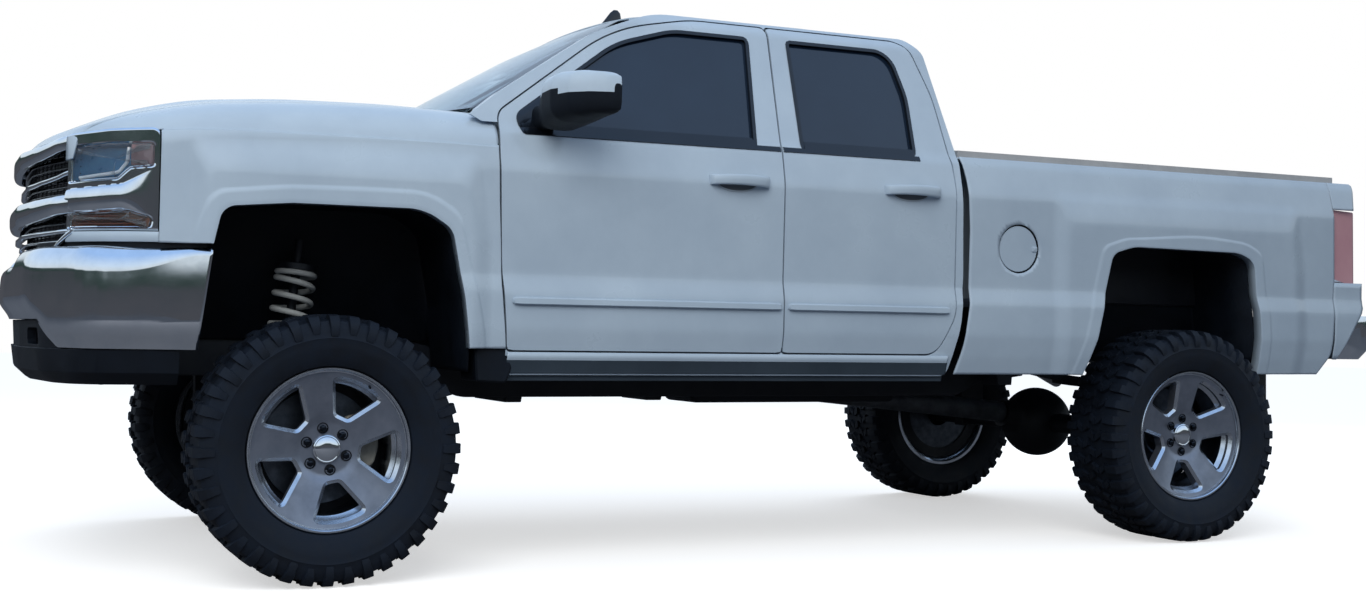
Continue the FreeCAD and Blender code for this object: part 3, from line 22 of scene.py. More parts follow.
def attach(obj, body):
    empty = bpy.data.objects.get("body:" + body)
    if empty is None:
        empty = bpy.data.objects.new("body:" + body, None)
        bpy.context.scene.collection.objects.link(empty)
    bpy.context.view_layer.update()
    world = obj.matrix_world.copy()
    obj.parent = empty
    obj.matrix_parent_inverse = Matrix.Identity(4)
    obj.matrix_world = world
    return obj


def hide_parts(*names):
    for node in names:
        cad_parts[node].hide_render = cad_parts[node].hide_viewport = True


logging.basicConfig(level=logging.INFO, format="%(message)s")
log = logging.getLogger("pickup")

# Station of the front axle in the frame, then the wheels' places and size, in metres
SHIFT = -1.9315
WHEELBASE = 3.645
HALF_TRACK = 0.890
TYRE_RADIUS = 0.4445
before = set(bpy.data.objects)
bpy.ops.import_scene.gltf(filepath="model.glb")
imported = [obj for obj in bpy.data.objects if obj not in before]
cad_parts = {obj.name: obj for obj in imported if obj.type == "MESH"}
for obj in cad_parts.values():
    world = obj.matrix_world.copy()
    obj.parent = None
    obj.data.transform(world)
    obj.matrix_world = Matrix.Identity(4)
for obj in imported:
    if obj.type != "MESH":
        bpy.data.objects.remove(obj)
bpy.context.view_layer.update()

Array = np.ndarray
# A corner of an outline: its two coordinates, then the radius that rounds it, if any
Corner = Sequence[float]


class Side(Enum):
    """Which side of the vehicle a piece is on; the value is the sign of its y."""

    RIGHT = 1
    LEFT = -1

    @property
    def word(self) -> str:
        """The side's name in node and body names."""
        return self.name.lower()


class Relief(Enum):
    """The fine relief of a finish: how its surface was made."""

    SMOOTH = "smooth"
    SPRAYED = "sprayed"
    MOULDED = "moulded"
    CAST = "cast"
    WOVEN = "woven"
    RUBBER = "rubber"


# ------------------------------------------------------------------ finishes


def linear(hex_colour: str) -> tuple[float, float, float, float]:
    """Turns an sRGB hex colour into linear light.

    Args:
        hex_colour: Six hex digits after a hash.

    Returns:
        Linear red, green and blue with full opacity.
    """
    parts = [int(hex_colour[i : i + 2], 16) / 255 for i in (1, 3, 5)]
    lin = [c / 12.92 if c <= 0.04045 else ((c + 0.055) / 1.055) ** 2.4 for c in parts]
    return (lin[0], lin[1], lin[2], 1.0)


@dataclass(frozen=True)
class Finish:
    """A surface finish, named for what the real material is.

    Attributes:
        name: The material's name.
        colour: Main colour, sRGB hex.
        second: Colour of its variation, sRGB hex.
        metallic: 0 for paint, plastic and glass, 1 for bare metal.
        rough: Roughness at the middle of its variation.
        rough_span: How far the roughness varies either way.
        grain_mm: Size of the relief's grain.
        relief: How the surface was made.
        depth: Strength of the relief's bump.
        coat: Clear lacquer over the colour.
        clear: Transmission, for glass and lenses.
        cloud_mm: Size of the colour variation's patches.
    """

    name: str
    colour: str
    second: str
    metallic: float = 0.0
    rough: float = 0.4
    rough_span: float = 0.05
    grain_mm: float = 2.0
    relief: Relief = Relief.SMOOTH
    depth: float = 0.05
    coat: float = 0.0
    clear: float = 0.0
    cloud_mm: float = 300.0
    ior: float = 1.5
    opacity: float = 1.0

    def material(self) -> bpy.types.Material:
        """Builds the finish's node material, once.

        Returns:
            The Blender material.
        """
        found = bpy.data.materials.get(self.name)
        if found:
            return found
        mat = bpy.data.materials.new(self.name)
        mat.use_nodes = True
        tree = mat.node_tree
        tree.nodes.clear()
        place = add_node(tree, "ShaderNodeTexCoord")
        cloud = add_node(
            tree, "ShaderNodeTexNoise", {
                "Scale": 1000.0 / self.cloud_mm, "Detail": 5.0, "Roughness": 0.6
            }, {"Vector": place.outputs["Object"]}
        )
        tint = add_node(tree, "ShaderNodeValToRGB", links={"Fac": cloud.outputs["Fac"]})
        tint.color_ramp.elements[0].position = 0.35
        tint.color_ramp.elements[1].position = 0.68
        tint.color_ramp.elements[0].color = linear(self.colour)
        tint.color_ramp.elements[1].color = linear(self.second)
        low, high = self.rough - self.rough_span, self.rough + self.rough_span
        rough = add_node(
            tree, "ShaderNodeMapRange", {
                "From Min": 0.3, "From Max": 0.7, "To Min": low, "To Max": high
            }, {"Value": cloud.outputs["Fac"]}
        )
        settings = {
            "Metallic": self.metallic, "Coat Weight": self.coat, "Coat Roughness": 0.04,
            "Transmission Weight": self.clear
        }
        if self.metallic < 0.5:
            settings["IOR"] = self.ior
        if self.opacity < 1.0:
            settings["Alpha"] = self.opacity
        shader = add_node(
            tree, "ShaderNodeBsdfPrincipled", settings, {
                "Base Color": tint.outputs["Color"], "Roughness": rough.outputs["Result"]
            }
        )
        height = self._relief(tree, place)
        if height is not None:
            bump = add_node(
                tree, "ShaderNodeBump", {"Strength": self.depth, "Distance": 0.002}, {"Height": height}
            )
            tree.links.new(bump.outputs["Normal"], shader.inputs["Normal"])
        out = add_node(tree, "ShaderNodeOutputMaterial", links={"Surface": shader.outputs["BSDF"]})
        out.location = (600, 0)
        return mat

    def _relief(self, tree: bpy.types.NodeTree, place: bpy.types.Node) -> bpy.types.NodeSocket | None:
        """Adds the texture that makes the finish's fine relief.

        Args:
            tree: The material's node tree.
            place: Its texture coordinate node.

        Returns:
            The socket that gives the relief's height, or None where the surface is smooth.
        """
        scale = 1000.0 / self.grain_mm
        source = place.outputs["Object"]
        if self.relief is Relief.SMOOTH:
            return None
        if self.relief is Relief.SPRAYED:
            return add_node(
                tree, "ShaderNodeTexNoise", {"Scale": scale, "Detail": 1.0}, {"Vector": source}
            ).outputs["Fac"]
        if self.relief is Relief.MOULDED:
            cells = add_node(tree, "ShaderNodeTexVoronoi", {"Scale": scale}, {"Vector": source})
            return cells.outputs["Distance"]
        if self.relief is Relief.WOVEN:
            wave = add_node(
                tree, "ShaderNodeTexWave", {"Scale": scale / 6.0, "Distortion": 1.5, "Detail": 1.0},
                {"Vector": source}
            )
            return wave.outputs["Fac"]
        detail = 6.0 if self.relief is Relief.CAST else 3.0
        return add_node(
            tree, "ShaderNodeTexNoise", {"Scale": scale, "Detail": detail, "Roughness": 0.65},
            {"Vector": source}
        ).outputs["Fac"]


def add_node(
    tree: bpy.types.NodeTree, kind: str, values: dict | None = None, links: dict | None = None
) -> bpy.types.Node:
    """Adds a node with its settings and links.

    Args:
        tree: The node tree.
        kind: The node's type name.
        values: Socket names and the values set on them.
        links: Socket names and the sockets that feed them.

    Returns:
        The new node.
    """
    node = tree.nodes.new(kind)
    for key, value in (values or {}).items():
        node.inputs[key].default_value = value
    for key, source in (links or {}).items():
        tree.links.new(source, node.inputs[key])
    return node


# White two-stage paint under lacquer, with the faint ripple that a spray gun leaves; its colour is painted
# shade, a blue-grey that stands for the white in shade
PAINT = Finish(
    "white_body_lacquer_painted_shade", "#b4c6d6", "#aabccd", rough=0.3, rough_span=0.04, grain_mm=4.0, relief=Relief.SPRAYED,
    depth=0.02, coat=0.6
)
# Painted inner panels: the same white without the polish
INNER_PAINT = Finish(
    "white_inner_paint", "#a3b1be", "#93a1ae", rough=0.5, grain_mm=3.0, relief=Relief.SPRAYED, depth=0.04
)
# Chromium plate: a mirror with faint smears
CHROME = Finish(
    "chromium_plate", "#eceef0", "#dfe3e7", metallic=1.0, rough=0.07, rough_span=0.03, cloud_mm=90.0
)
# Polished cast aluminium of the wheels: bright, a little softer than plate
ALLOY = Finish(
    "polished_aluminium", "#dde0e4", "#c9cdd2", metallic=1.0, rough=0.2, rough_span=0.07, cloud_mm=60.0,
    grain_mm=1.5, relief=Relief.SPRAYED, depth=0.03
)
# Satin dark lacquer on the faces of the wheel's spokes
SPOKE_FACE = Finish(
    "satin_grey_wheel_lacquer", "#8b92a0", "#79808d", metallic=0.75, rough=0.34, rough_span=0.06, cloud_mm=80.0,
    coat=0.2
)
# Grained black polypropylene of mouldings and cladding
BLACK_PLASTIC = Finish(
    "grained_black_polypropylene", "#060a11", "#0d131c", rough=0.6, ior=1.38, grain_mm=1.6,
    relief=Relief.MOULDED, depth=0.25, cloud_mm=150.0
)
# Smooth gloss black plastic of grille mesh, window channels, mirror feet and antenna; the same black is painted
# shade in the wheels' nut seats and on the plate behind the grille mesh
GLOSS_BLACK = Finish("gloss_black_plastic", "#070a10", "#0c1017", rough=0.18, coat=0.3)
# Tyre rubber: soft black, with patches of dusty grey
TYRE_RUBBER = Finish(
    "vulcanised_tyre_rubber", "#070c15", "#111925", rough=0.72, rough_span=0.1, grain_mm=2.5,
    relief=Relief.RUBBER, depth=0.35, cloud_mm=70.0
)
# Black rubber of seals and fillers; the same black closes the rocker's drain holes as painted shade, for the
# dark inside them
SEAL_RUBBER_AND_HOLE_SHADE = Finish(
    "seal_rubber_and_hole_shade", "#06080d", "#0b0f15", rough=0.6, grain_mm=1.5, relief=Relief.RUBBER, depth=0.2, cloud_mm=90.0
)
# Satin black chassis paint with road dust
CHASSIS_PAINT = Finish(
    "satin_chassis_paint", "#070a11", "#12151c", rough=0.58, rough_span=0.12, grain_mm=6.0, relief=Relief.CAST,
    depth=0.3, cloud_mm=120.0
)
# As-cast iron of the knuckles and steering rods
CAST_IRON = Finish(
    "as_cast_iron", "#3a3c40", "#514f4d", metallic=0.7, rough=0.55, rough_span=0.12, grain_mm=3.0,
    relief=Relief.CAST, depth=0.5, cloud_mm=60.0
)
# Turned steel of the brake discs, dulled by use, its colour darkened as painted shade for the shade inside the
# wheels
TURNED_STEEL_SHADED = Finish(
    "turned_disc_steel_painted_shade", "#5d6269", "#4a4e54", metallic=1.0, rough=0.42, rough_span=0.08, cloud_mm=30.0
)
# Aluminium castings of engine and gearbox
CAST_ALUMINIUM = Finish(
    "sand_cast_aluminium", "#6d7074", "#56585b", metallic=0.9, rough=0.5, rough_span=0.1, grain_mm=2.5,
    relief=Relief.CAST, depth=0.5, cloud_mm=80.0
)
# Pale powder coat of the coil springs
SPRING_COAT = Finish(
    "pale_spring_powder_coat", "#b4b9b9", "#9fa5a6", rough=0.45, grain_mm=1.5, relief=Relief.SPRAYED, depth=0.1
)
# Aluminised exhaust pipe, dulled by heat
EXHAUST_STEEL = Finish(
    "heat_dulled_pipe_steel", "#6a6661", "#4e4a46", metallic=1.0, rough=0.5, rough_span=0.12, grain_mm=4.0,
    relief=Relief.CAST, depth=0.2, cloud_mm=100.0
)
# Dark grained interior trim
TRIM = Finish(
    "grained_interior_trim", "#1a1c20", "#25282c", rough=0.62, grain_mm=1.8, relief=Relief.MOULDED, depth=0.3
)
# Dark seat cloth
SEAT_CLOTH = Finish(
    "dark_seat_cloth", "#202329", "#2c3037", rough=0.9, grain_mm=2.4, relief=Relief.WOVEN, depth=0.4,
    cloud_mm=60.0
)
# Carpet of the cab floor
CARPET = Finish(
    "loop_pile_carpet", "#17181b", "#222327", rough=0.95, grain_mm=3.0, relief=Relief.RUBBER, depth=0.8,
    cloud_mm=40.0
)
# Clear laminated glass
CLEAR_GLASS = Finish(
    "laminated_screen_glass", "#d4e2e6", "#cfdde2", rough=0.02, rough_span=0.01, clear=1.0, ior=1.45
)
# Privacy glass: dark body tint, glossy face
DARK_GLASS = Finish(
    "privacy_glass", "#132032", "#18273a", rough=0.04, rough_span=0.02, clear=0.15, ior=1.5, coat=0.5
)
# Clear polycarbonate of the lamps
CLEAR_LENS = Finish(
    "clear_polycarbonate_lens", "#e4eaee", "#dce3e8", rough=0.03, rough_span=0.01, clear=0.95, ior=1.3
)
# Red and amber acrylic of the lamps
RED_LENS = Finish("red_acrylic_lens", "#e2b0b8", "#d3a0aa", rough=0.08, rough_span=0.03, clear=0.1, coat=0.6)
AMBER_LENS = Finish(
    "amber_acrylic_lens", "#5a2b16", "#774020", rough=0.1, rough_span=0.03, clear=0.25, coat=0.5
)
# Bowls of the lamps, blue as painted reflection of the sky in their bright reflectors; the pinkish marker, and
# the pale edge of the light guide
LAMP_BOWL_REFLECTION = Finish("lamp_bowl_painted_reflection", "#2c6890", "#3779a2", rough=0.3, cloud_mm=40.0)
MARKER_LENS = Finish("side_marker_lens", "#94767a", "#836a6d", rough=0.2, coat=0.4)
LIGHT_GUIDE = Finish("frosted_light_guide", "#eef3f6", "#e2eaef", rough=0.4, coat=0.3)
MIRROR_GLASS = Finish("mirror_glass", "#c4cbd1", "#bcc4ca", metallic=1.0, rough=0.05, rough_span=0.02)
# Pale painted brake calipers, and the blackened steel of the wheel nuts
CALIPER_PAINT = Finish("pale_caliper_paint", "#c3c0b4", "#a9a69b", rough=0.5, cloud_mm=40.0)
NUT_STEEL = Finish("blackened_nut_steel", "#353a42", "#2a2e35", metallic=1.0, rough=0.24, cloud_mm=20.0)
# Painted shade: dark blue-grey on the lower step of the rockers, which turns under into the shade below the
# doors
ROCKER_STEP_SHADE = Finish(
    "rocker_step_painted_shade", "#3a4651", "#313c46", rough=0.72, grain_mm=3.0, relief=Relief.SPRAYED, depth=0.3
)
# Grey splash flaps behind the rear wheels; the same grey is painted shade on the floor of the door handles'
# cups
FLAP_PLASTIC_AND_CUP_SHADE = Finish(
    "grey_flap_plastic_and_cup_shade", "#4d5359", "#5a6066", rough=0.6, grain_mm=2.0, relief=Relief.MOULDED, depth=0.2
)
# Woven pale vinyl of the load cover
COVER_VINYL = Finish(
    "pale_cover_vinyl", "#b3b4b4", "#a3a4a5", rough=0.66, grain_mm=2.2, relief=Relief.WOVEN, depth=0.3,
    cloud_mm=140.0
)


# ------------------------------------------------------------------ geometry helpers


def to_frame(points: Array) -> Array:
    """Moves station points to the frame's origin."""
    moved = np.array(points, dtype=float)
    moved[..., 0] += SHIFT
    return moved


def full_turn(count: int) -> Array:
    """Angles evenly round a circle, in radians."""
    return np.linspace(0, 2 * math.pi, count, endpoint=False)


def xyz(x: Array | float, y: Array | float, z: Array | float) -> Array:
    """Points (..., 3) from their three coordinates, spread to one shape."""
    return np.stack(np.broadcast_arrays(x, y, z), axis=-1)


def revolved(profile: Array, spin: Array) -> Array:
    """A profile of (distance along the axle, radius) turned about it: x = r cos t, z = r sin t."""
    reach, radius = profile[:, :1], profile[:, 1:]
    return xyz(radius * np.cos(spin), reach + 0 * spin, radius * np.sin(spin))


def rounded(corners: Sequence[Corner], closed: bool = True, step: float = 0.012) -> Array:
    """A polyline with its corners rounded by arcs.

    The arc at a corner of half-angle h is tangent to both runs, r / tan(h) away from the corner.

    Args:
        corners: Points (a, b) or (a, b, radius).
        closed: Whether the line closes on itself.
        step: Largest distance between points along an arc.

    Returns:
        Points (n, 2); a closed line doesn't repeat its first point.
    """
    pts = np.array([c[:2] for c in corners], dtype=float)
    radii = [c[2] if len(c) > 2 else 0.0 for c in corners]
    out: list[Array] = []
    count = len(pts)
    for i, (p, r) in enumerate(zip(pts, radii)):
        if not closed and i in (0, count - 1) or r <= 0:
            out.append(p[None])
            continue
        back, ahead = pts[i - 1] - p, pts[(i + 1) % count] - p
        lb, la = np.linalg.norm(back), np.linalg.norm(ahead)
        back, ahead = back / lb, ahead / la
        turn = math.pi - math.acos(float(np.clip(back @ ahead, -1, 1)))
        if turn < 1e-3:
            out.append(p[None])
            continue
        trim = min(r * math.tan(turn / 2), 0.49 * lb, 0.49 * la)
        r = trim / math.tan(turn / 2)
        mid = (back + ahead) / np.linalg.norm(back + ahead)
        centre = p + mid * r / math.cos(turn / 2)
        a, b = p + back * trim - centre, p + ahead * trim - centre
        n = max(3, int(r * turn / step) + 2)
        t = np.linspace(0, 1, n)[:, None]
        out.append(centre + (np.sin((1 - t) * turn) * a + np.sin(t * turn) * b) / math.sin(turn))
    return np.concatenate(out)


def along(line: Array, share: Array, closed: bool = False) -> Array:
    """Points of a polyline at shares of its length.

    Args:
        line: Points (n, k).
        share: Shares of the length, 0 to 1.
        closed: Whether the line closes on itself.

    Returns:
        Points (len(share), k).
    """
    pts = np.concatenate([line, line[:1]]) if closed else line
    gone = np.concatenate([[0], np.cumsum(np.linalg.norm(np.diff(pts, axis=0), axis=1))])
    want = np.asarray(share) * gone[-1]
    return np.stack([np.interp(want, gone, pts[:, k]) for k in range(pts.shape[1])], axis=-1)


def keyed_loop(line: Array, keys: Sequence[Corner], counts: Sequence[int], closed: bool = True) -> Array:
    """Resamples a line so that given places fall on given point numbers.

    Args:
        line: Points (n, 2).
        keys: Places on it, in order, each at the start of a run.
        counts: How many points each run gets.
        closed: Whether the last run returns to the first key.

    Returns:
        Points (sum(counts), 2), and one more for an open line.
    """
    pts = np.concatenate([line, line[:1]]) if closed else line
    gone = np.concatenate([[0], np.cumsum(np.linalg.norm(np.diff(pts, axis=0), axis=1))])
    dense = np.linspace(0, gone[-1], 4000)
    fine = np.stack([np.interp(dense, gone, pts[:, k]) for k in (0, 1)], axis=-1)
    at = [dense[int(np.argmin(np.linalg.norm(fine - np.array(k[:2]), axis=1)))] for k in keys]
    total = gone[-1]
    runs = []
    for i, n in enumerate(counts):
        start = at[i]
        stop = at[(i + 1) % len(at)]
        if closed and stop <= start:
            stop += total
        runs.append(start + (stop - start) * np.arange(n) / n)
    want = np.concatenate(runs + ([] if closed else [np.array([at[-1]])]))
    if closed:
        want = np.mod(want, total)
    return np.stack([np.interp(want, gone, pts[:, k]) for k in (0, 1)], axis=-1)


def smooth_step(t: Array) -> Array:
    """The S-curve 3t^2 - 2t^3 of t held between 0 and 1."""
    t = np.clip(t, 0, 1)
    return t * t * (3 - 2 * t)


def soft_min(a: Array, b: Array, blend: float) -> Array:
    """The lesser of two values, rounded over a blend width where they meet."""
    mix = np.clip(0.5 + 0.5 * (b - a) / blend, 0, 1)
    return b * (1 - mix) + a * mix - blend * mix * (1 - mix)


@dataclass
class Piece:
    """A mesh under construction: grids and loops of faces gathered under one name.

    Attributes:
        name: The object's name.
        body: The CAD body that it rides on.
        finish: Its finish.
        replaces: CAD nodes that it stands for.
        sharp: Angle in degrees past which an edge stays sharp.
        weld: Distance in metres under which points are merged.
    """

    name: str
    body: str
    finish: Finish
    replaces: tuple[str, ...] = ()
    sharp: float = 38.0
    weld: float = 2e-5
    _points: list[Array] = field(default_factory=list)
    _faces: list[Array] = field(default_factory=list)
    _slots: list[Array] = field(default_factory=list)
    _finishes: list[Finish] = field(default_factory=list)
    _count: int = 0

    def _slot(self, finish: Finish | None) -> int:
        """The number of a finish among the piece's finishes."""
        finish = finish or self.finish
        if finish not in self._finishes:
            self._finishes.append(finish)
        return self._finishes.index(finish)

    def faces(self, points: Array, quads: Array, finish: Finish | None = None) -> None:
        """Adds points and the faces between them.

        Args:
            points: Points (n, 3) on station axes.
            quads: Point numbers (m, 3) or (m, 4).
            finish: The faces' finish, if not the piece's own.
        """
        quads = np.asarray(quads, dtype=np.int64)
        if quads.shape[1] == 3:
            quads = np.concatenate([quads, np.full((len(quads), 1), -1 - self._count)], axis=1)
        self._points.append(np.asarray(points, dtype=float))
        self._faces.append(quads + self._count)
        self._slots.append(np.full(len(quads), self._slot(finish)))
        self._count += len(points)

    def grid(
        self, points: Array, wrap_u: bool = False, wrap_v: bool = False, flip: bool = False,
        finish: Finish | None = None
    ) -> None:
        """Adds a surface given as a grid of points.

        Args:
            points: Points (nu, nv, 3).
            wrap_u: Whether the last row meets the first.
            wrap_v: Whether the last column meets the first.
            flip: Turns the faces over.
            finish: The surface's finish, if not the piece's own.
        """
        nu, nv = points.shape[:2]
        iu = np.arange(nu if wrap_u else nu - 1)
        iv = np.arange(nv if wrap_v else nv - 1)
        a, b = np.meshgrid(iu, iv, indexing="ij")
        a2, b2 = (a + 1) % nu, (b + 1) % nv
        quads = np.stack([a * nv + b, a2 * nv + b, a2 * nv + b2, a * nv + b2], axis=-1).reshape(-1, 4)
        self.faces(points.reshape(-1, 3), quads[:, ::-1] if flip else quads, finish)

    def fan(self, loop: Array, flip: bool = False, finish: Finish | None = None) -> None:
        """Closes a loop of points with triangles from its middle."""
        n = len(loop)
        points = np.concatenate([loop, loop.mean(axis=0)[None]])
        i = np.arange(n)
        tris = xyz(i, (i + 1) % n, np.full(n, n))
        self.faces(points, tris[:, ::-1] if flip else tris, finish)

    def loft(self, rings: Array, ends: Sequence[int] = (0, -1), finish: Finish | None = None) -> None:
        """Joins closed rings of points and closes the chosen ends.

        Args:
            rings: Points (rings, points, 3).
            ends: Numbers of the rings that are closed.
            finish: The surface's finish, if not the piece's own.
        """
        self.grid(rings, wrap_v=True, finish=finish)
        for end in ends:
            self.fan(rings[end], finish=finish)

    def tube(
        self, path: Array, radius: float | Array, sides: int = 12, closed: bool = False,
        finish: Finish | None = None
    ) -> None:
        """Carries a circle along a path, turned with it so that it never twists, and closes its ends.

        Args:
            path: Points (n, 3).
            radius: The tube's radius, or one for each point.
            sides: Points round the tube.
            closed: Whether the path returns to its start.
            finish: The tube's finish, if not the piece's own.
        """
        n = len(path)
        run = np.gradient(path, axis=0) if not closed else np.roll(path, -1, 0) - np.roll(path, 1, 0)
        run /= np.linalg.norm(run, axis=1)[:, None]
        side = np.cross(run, [0.0, 0.0, 1.0])
        weak = np.linalg.norm(side, axis=1) < 0.15
        side[weak] = np.cross(run[weak], [0.0, 1.0, 0.0])
        if weak.any() and not weak.all():
            side = np.cross(run, [0.31, 0.77, 0.55])
        side /= np.linalg.norm(side, axis=1)[:, None]
        up = np.cross(side, run)
        turn = full_turn(sides)
        r = np.broadcast_to(np.asarray(radius, dtype=float), (n,))[:, None, None]
        ring = path[:, None] + r * (
            np.cos(turn)[None, :, None] * side[:, None] + np.sin(turn)[None, :, None] * up[:, None]
        )
        self.grid(ring, wrap_u=closed, wrap_v=True, finish=finish)
        if not closed:
            self.fan(ring[0], finish=finish)
            self.fan(ring[-1], flip=True, finish=finish)

    def build(self, bevel: float = 0.0, thickness: float = 0.0, outward: bool = True) -> bpy.types.Object:
        """Makes the object: merges seams, turns faces outwards, smooths, dresses and rides it.

        Args:
            bevel: Width of the bevel on its sharp edges, in metres.
            thickness: Wall thickness added inwards to an open sheet.
            outward: Whether to turn the faces outwards, for closed shapes.

        Returns:
            The finished object.
        """
        points = to_frame(np.concatenate(self._points))
        quads = np.concatenate(self._faces)
        slots = np.concatenate(self._slots)
        keep = [tuple(q[q >= 0]) for q in quads]
        mesh = bpy.data.meshes.new(self.name)
        mesh.from_pydata(points, [], keep)
        mesh.polygons.foreach_set("material_index", slots)
        for finish in self._finishes:
            mesh.materials.append(finish.material())
        work = bmesh.new()
        work.from_mesh(mesh)
        if self.weld:
            bmesh.ops.remove_doubles(work, verts=work.verts, dist=self.weld)
        if outward:
            bmesh.ops.recalc_face_normals(work, faces=work.faces)
        work.to_mesh(mesh)
        work.free()
        mesh.shade_smooth()
        mesh.set_sharp_from_angle(angle=math.radians(self.sharp))
        thing = bpy.data.objects.new(self.name, mesh)
        bpy.context.scene.collection.objects.link(thing)
        if thickness:
            wall = thing.modifiers.new("Wall", "SOLIDIFY")
            wall.thickness = thickness
            wall.offset = -1
        if bevel:
            soften_edges(thing, bevel, self.sharp)
        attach(thing, self.body)
        if self.replaces:
            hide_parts(*self.replaces)
        log.info("%s: %d faces on %s", self.name, len(mesh.polygons), self.body)
        return thing


def soften_edges(thing: bpy.types.Object, width: float, sharp: float) -> bpy.types.Modifier:
    """Adds a bevel of a width in metres to edges past an angle in degrees."""
    edge = thing.modifiers.new("Edge", "BEVEL")
    edge.width = width
    edge.segments = 2
    edge.limit_method = "ANGLE"
    edge.angle_limit = math.radians(sharp)
    return edge


def dressed_copy(
    node: str, body: str, finish: Finish, bevel: float = 0.0015, sharp: float = 30.0
) -> bpy.types.Object:
    """A welded copy of a CAD node with softened edges, which stands for the node.

    Args:
        node: The CAD node's name.
        body: Its body.
        finish: The copy's finish.
        bevel: Width of the softened edge in metres, or 0 for none.
        sharp: Angle in degrees past which an edge counts.

    Returns:
        The copy.
    """
    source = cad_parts[node]
    mesh = source.data.copy()
    work = bmesh.new()
    work.from_mesh(mesh)
    bmesh.ops.remove_doubles(work, verts=work.verts, dist=2e-5)
    bmesh.ops.dissolve_limit(work, angle_limit=math.radians(0.5), verts=work.verts, edges=work.edges)
    work.to_mesh(mesh)
    work.free()
    mesh.materials.clear()
    mesh.materials.append(finish.material())
    mesh.shade_smooth()
    mesh.set_sharp_from_angle(angle=math.radians(sharp))
    thing = bpy.data.objects.new(node + "_dressed", mesh)
    bpy.context.scene.collection.objects.link(thing)
    if bevel:
        soften_edges(thing, bevel, sharp).harden_normals = True
    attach(thing, body)
    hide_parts(node)
    return thing


# ------------------------------------------------------------------ the body's surfaces


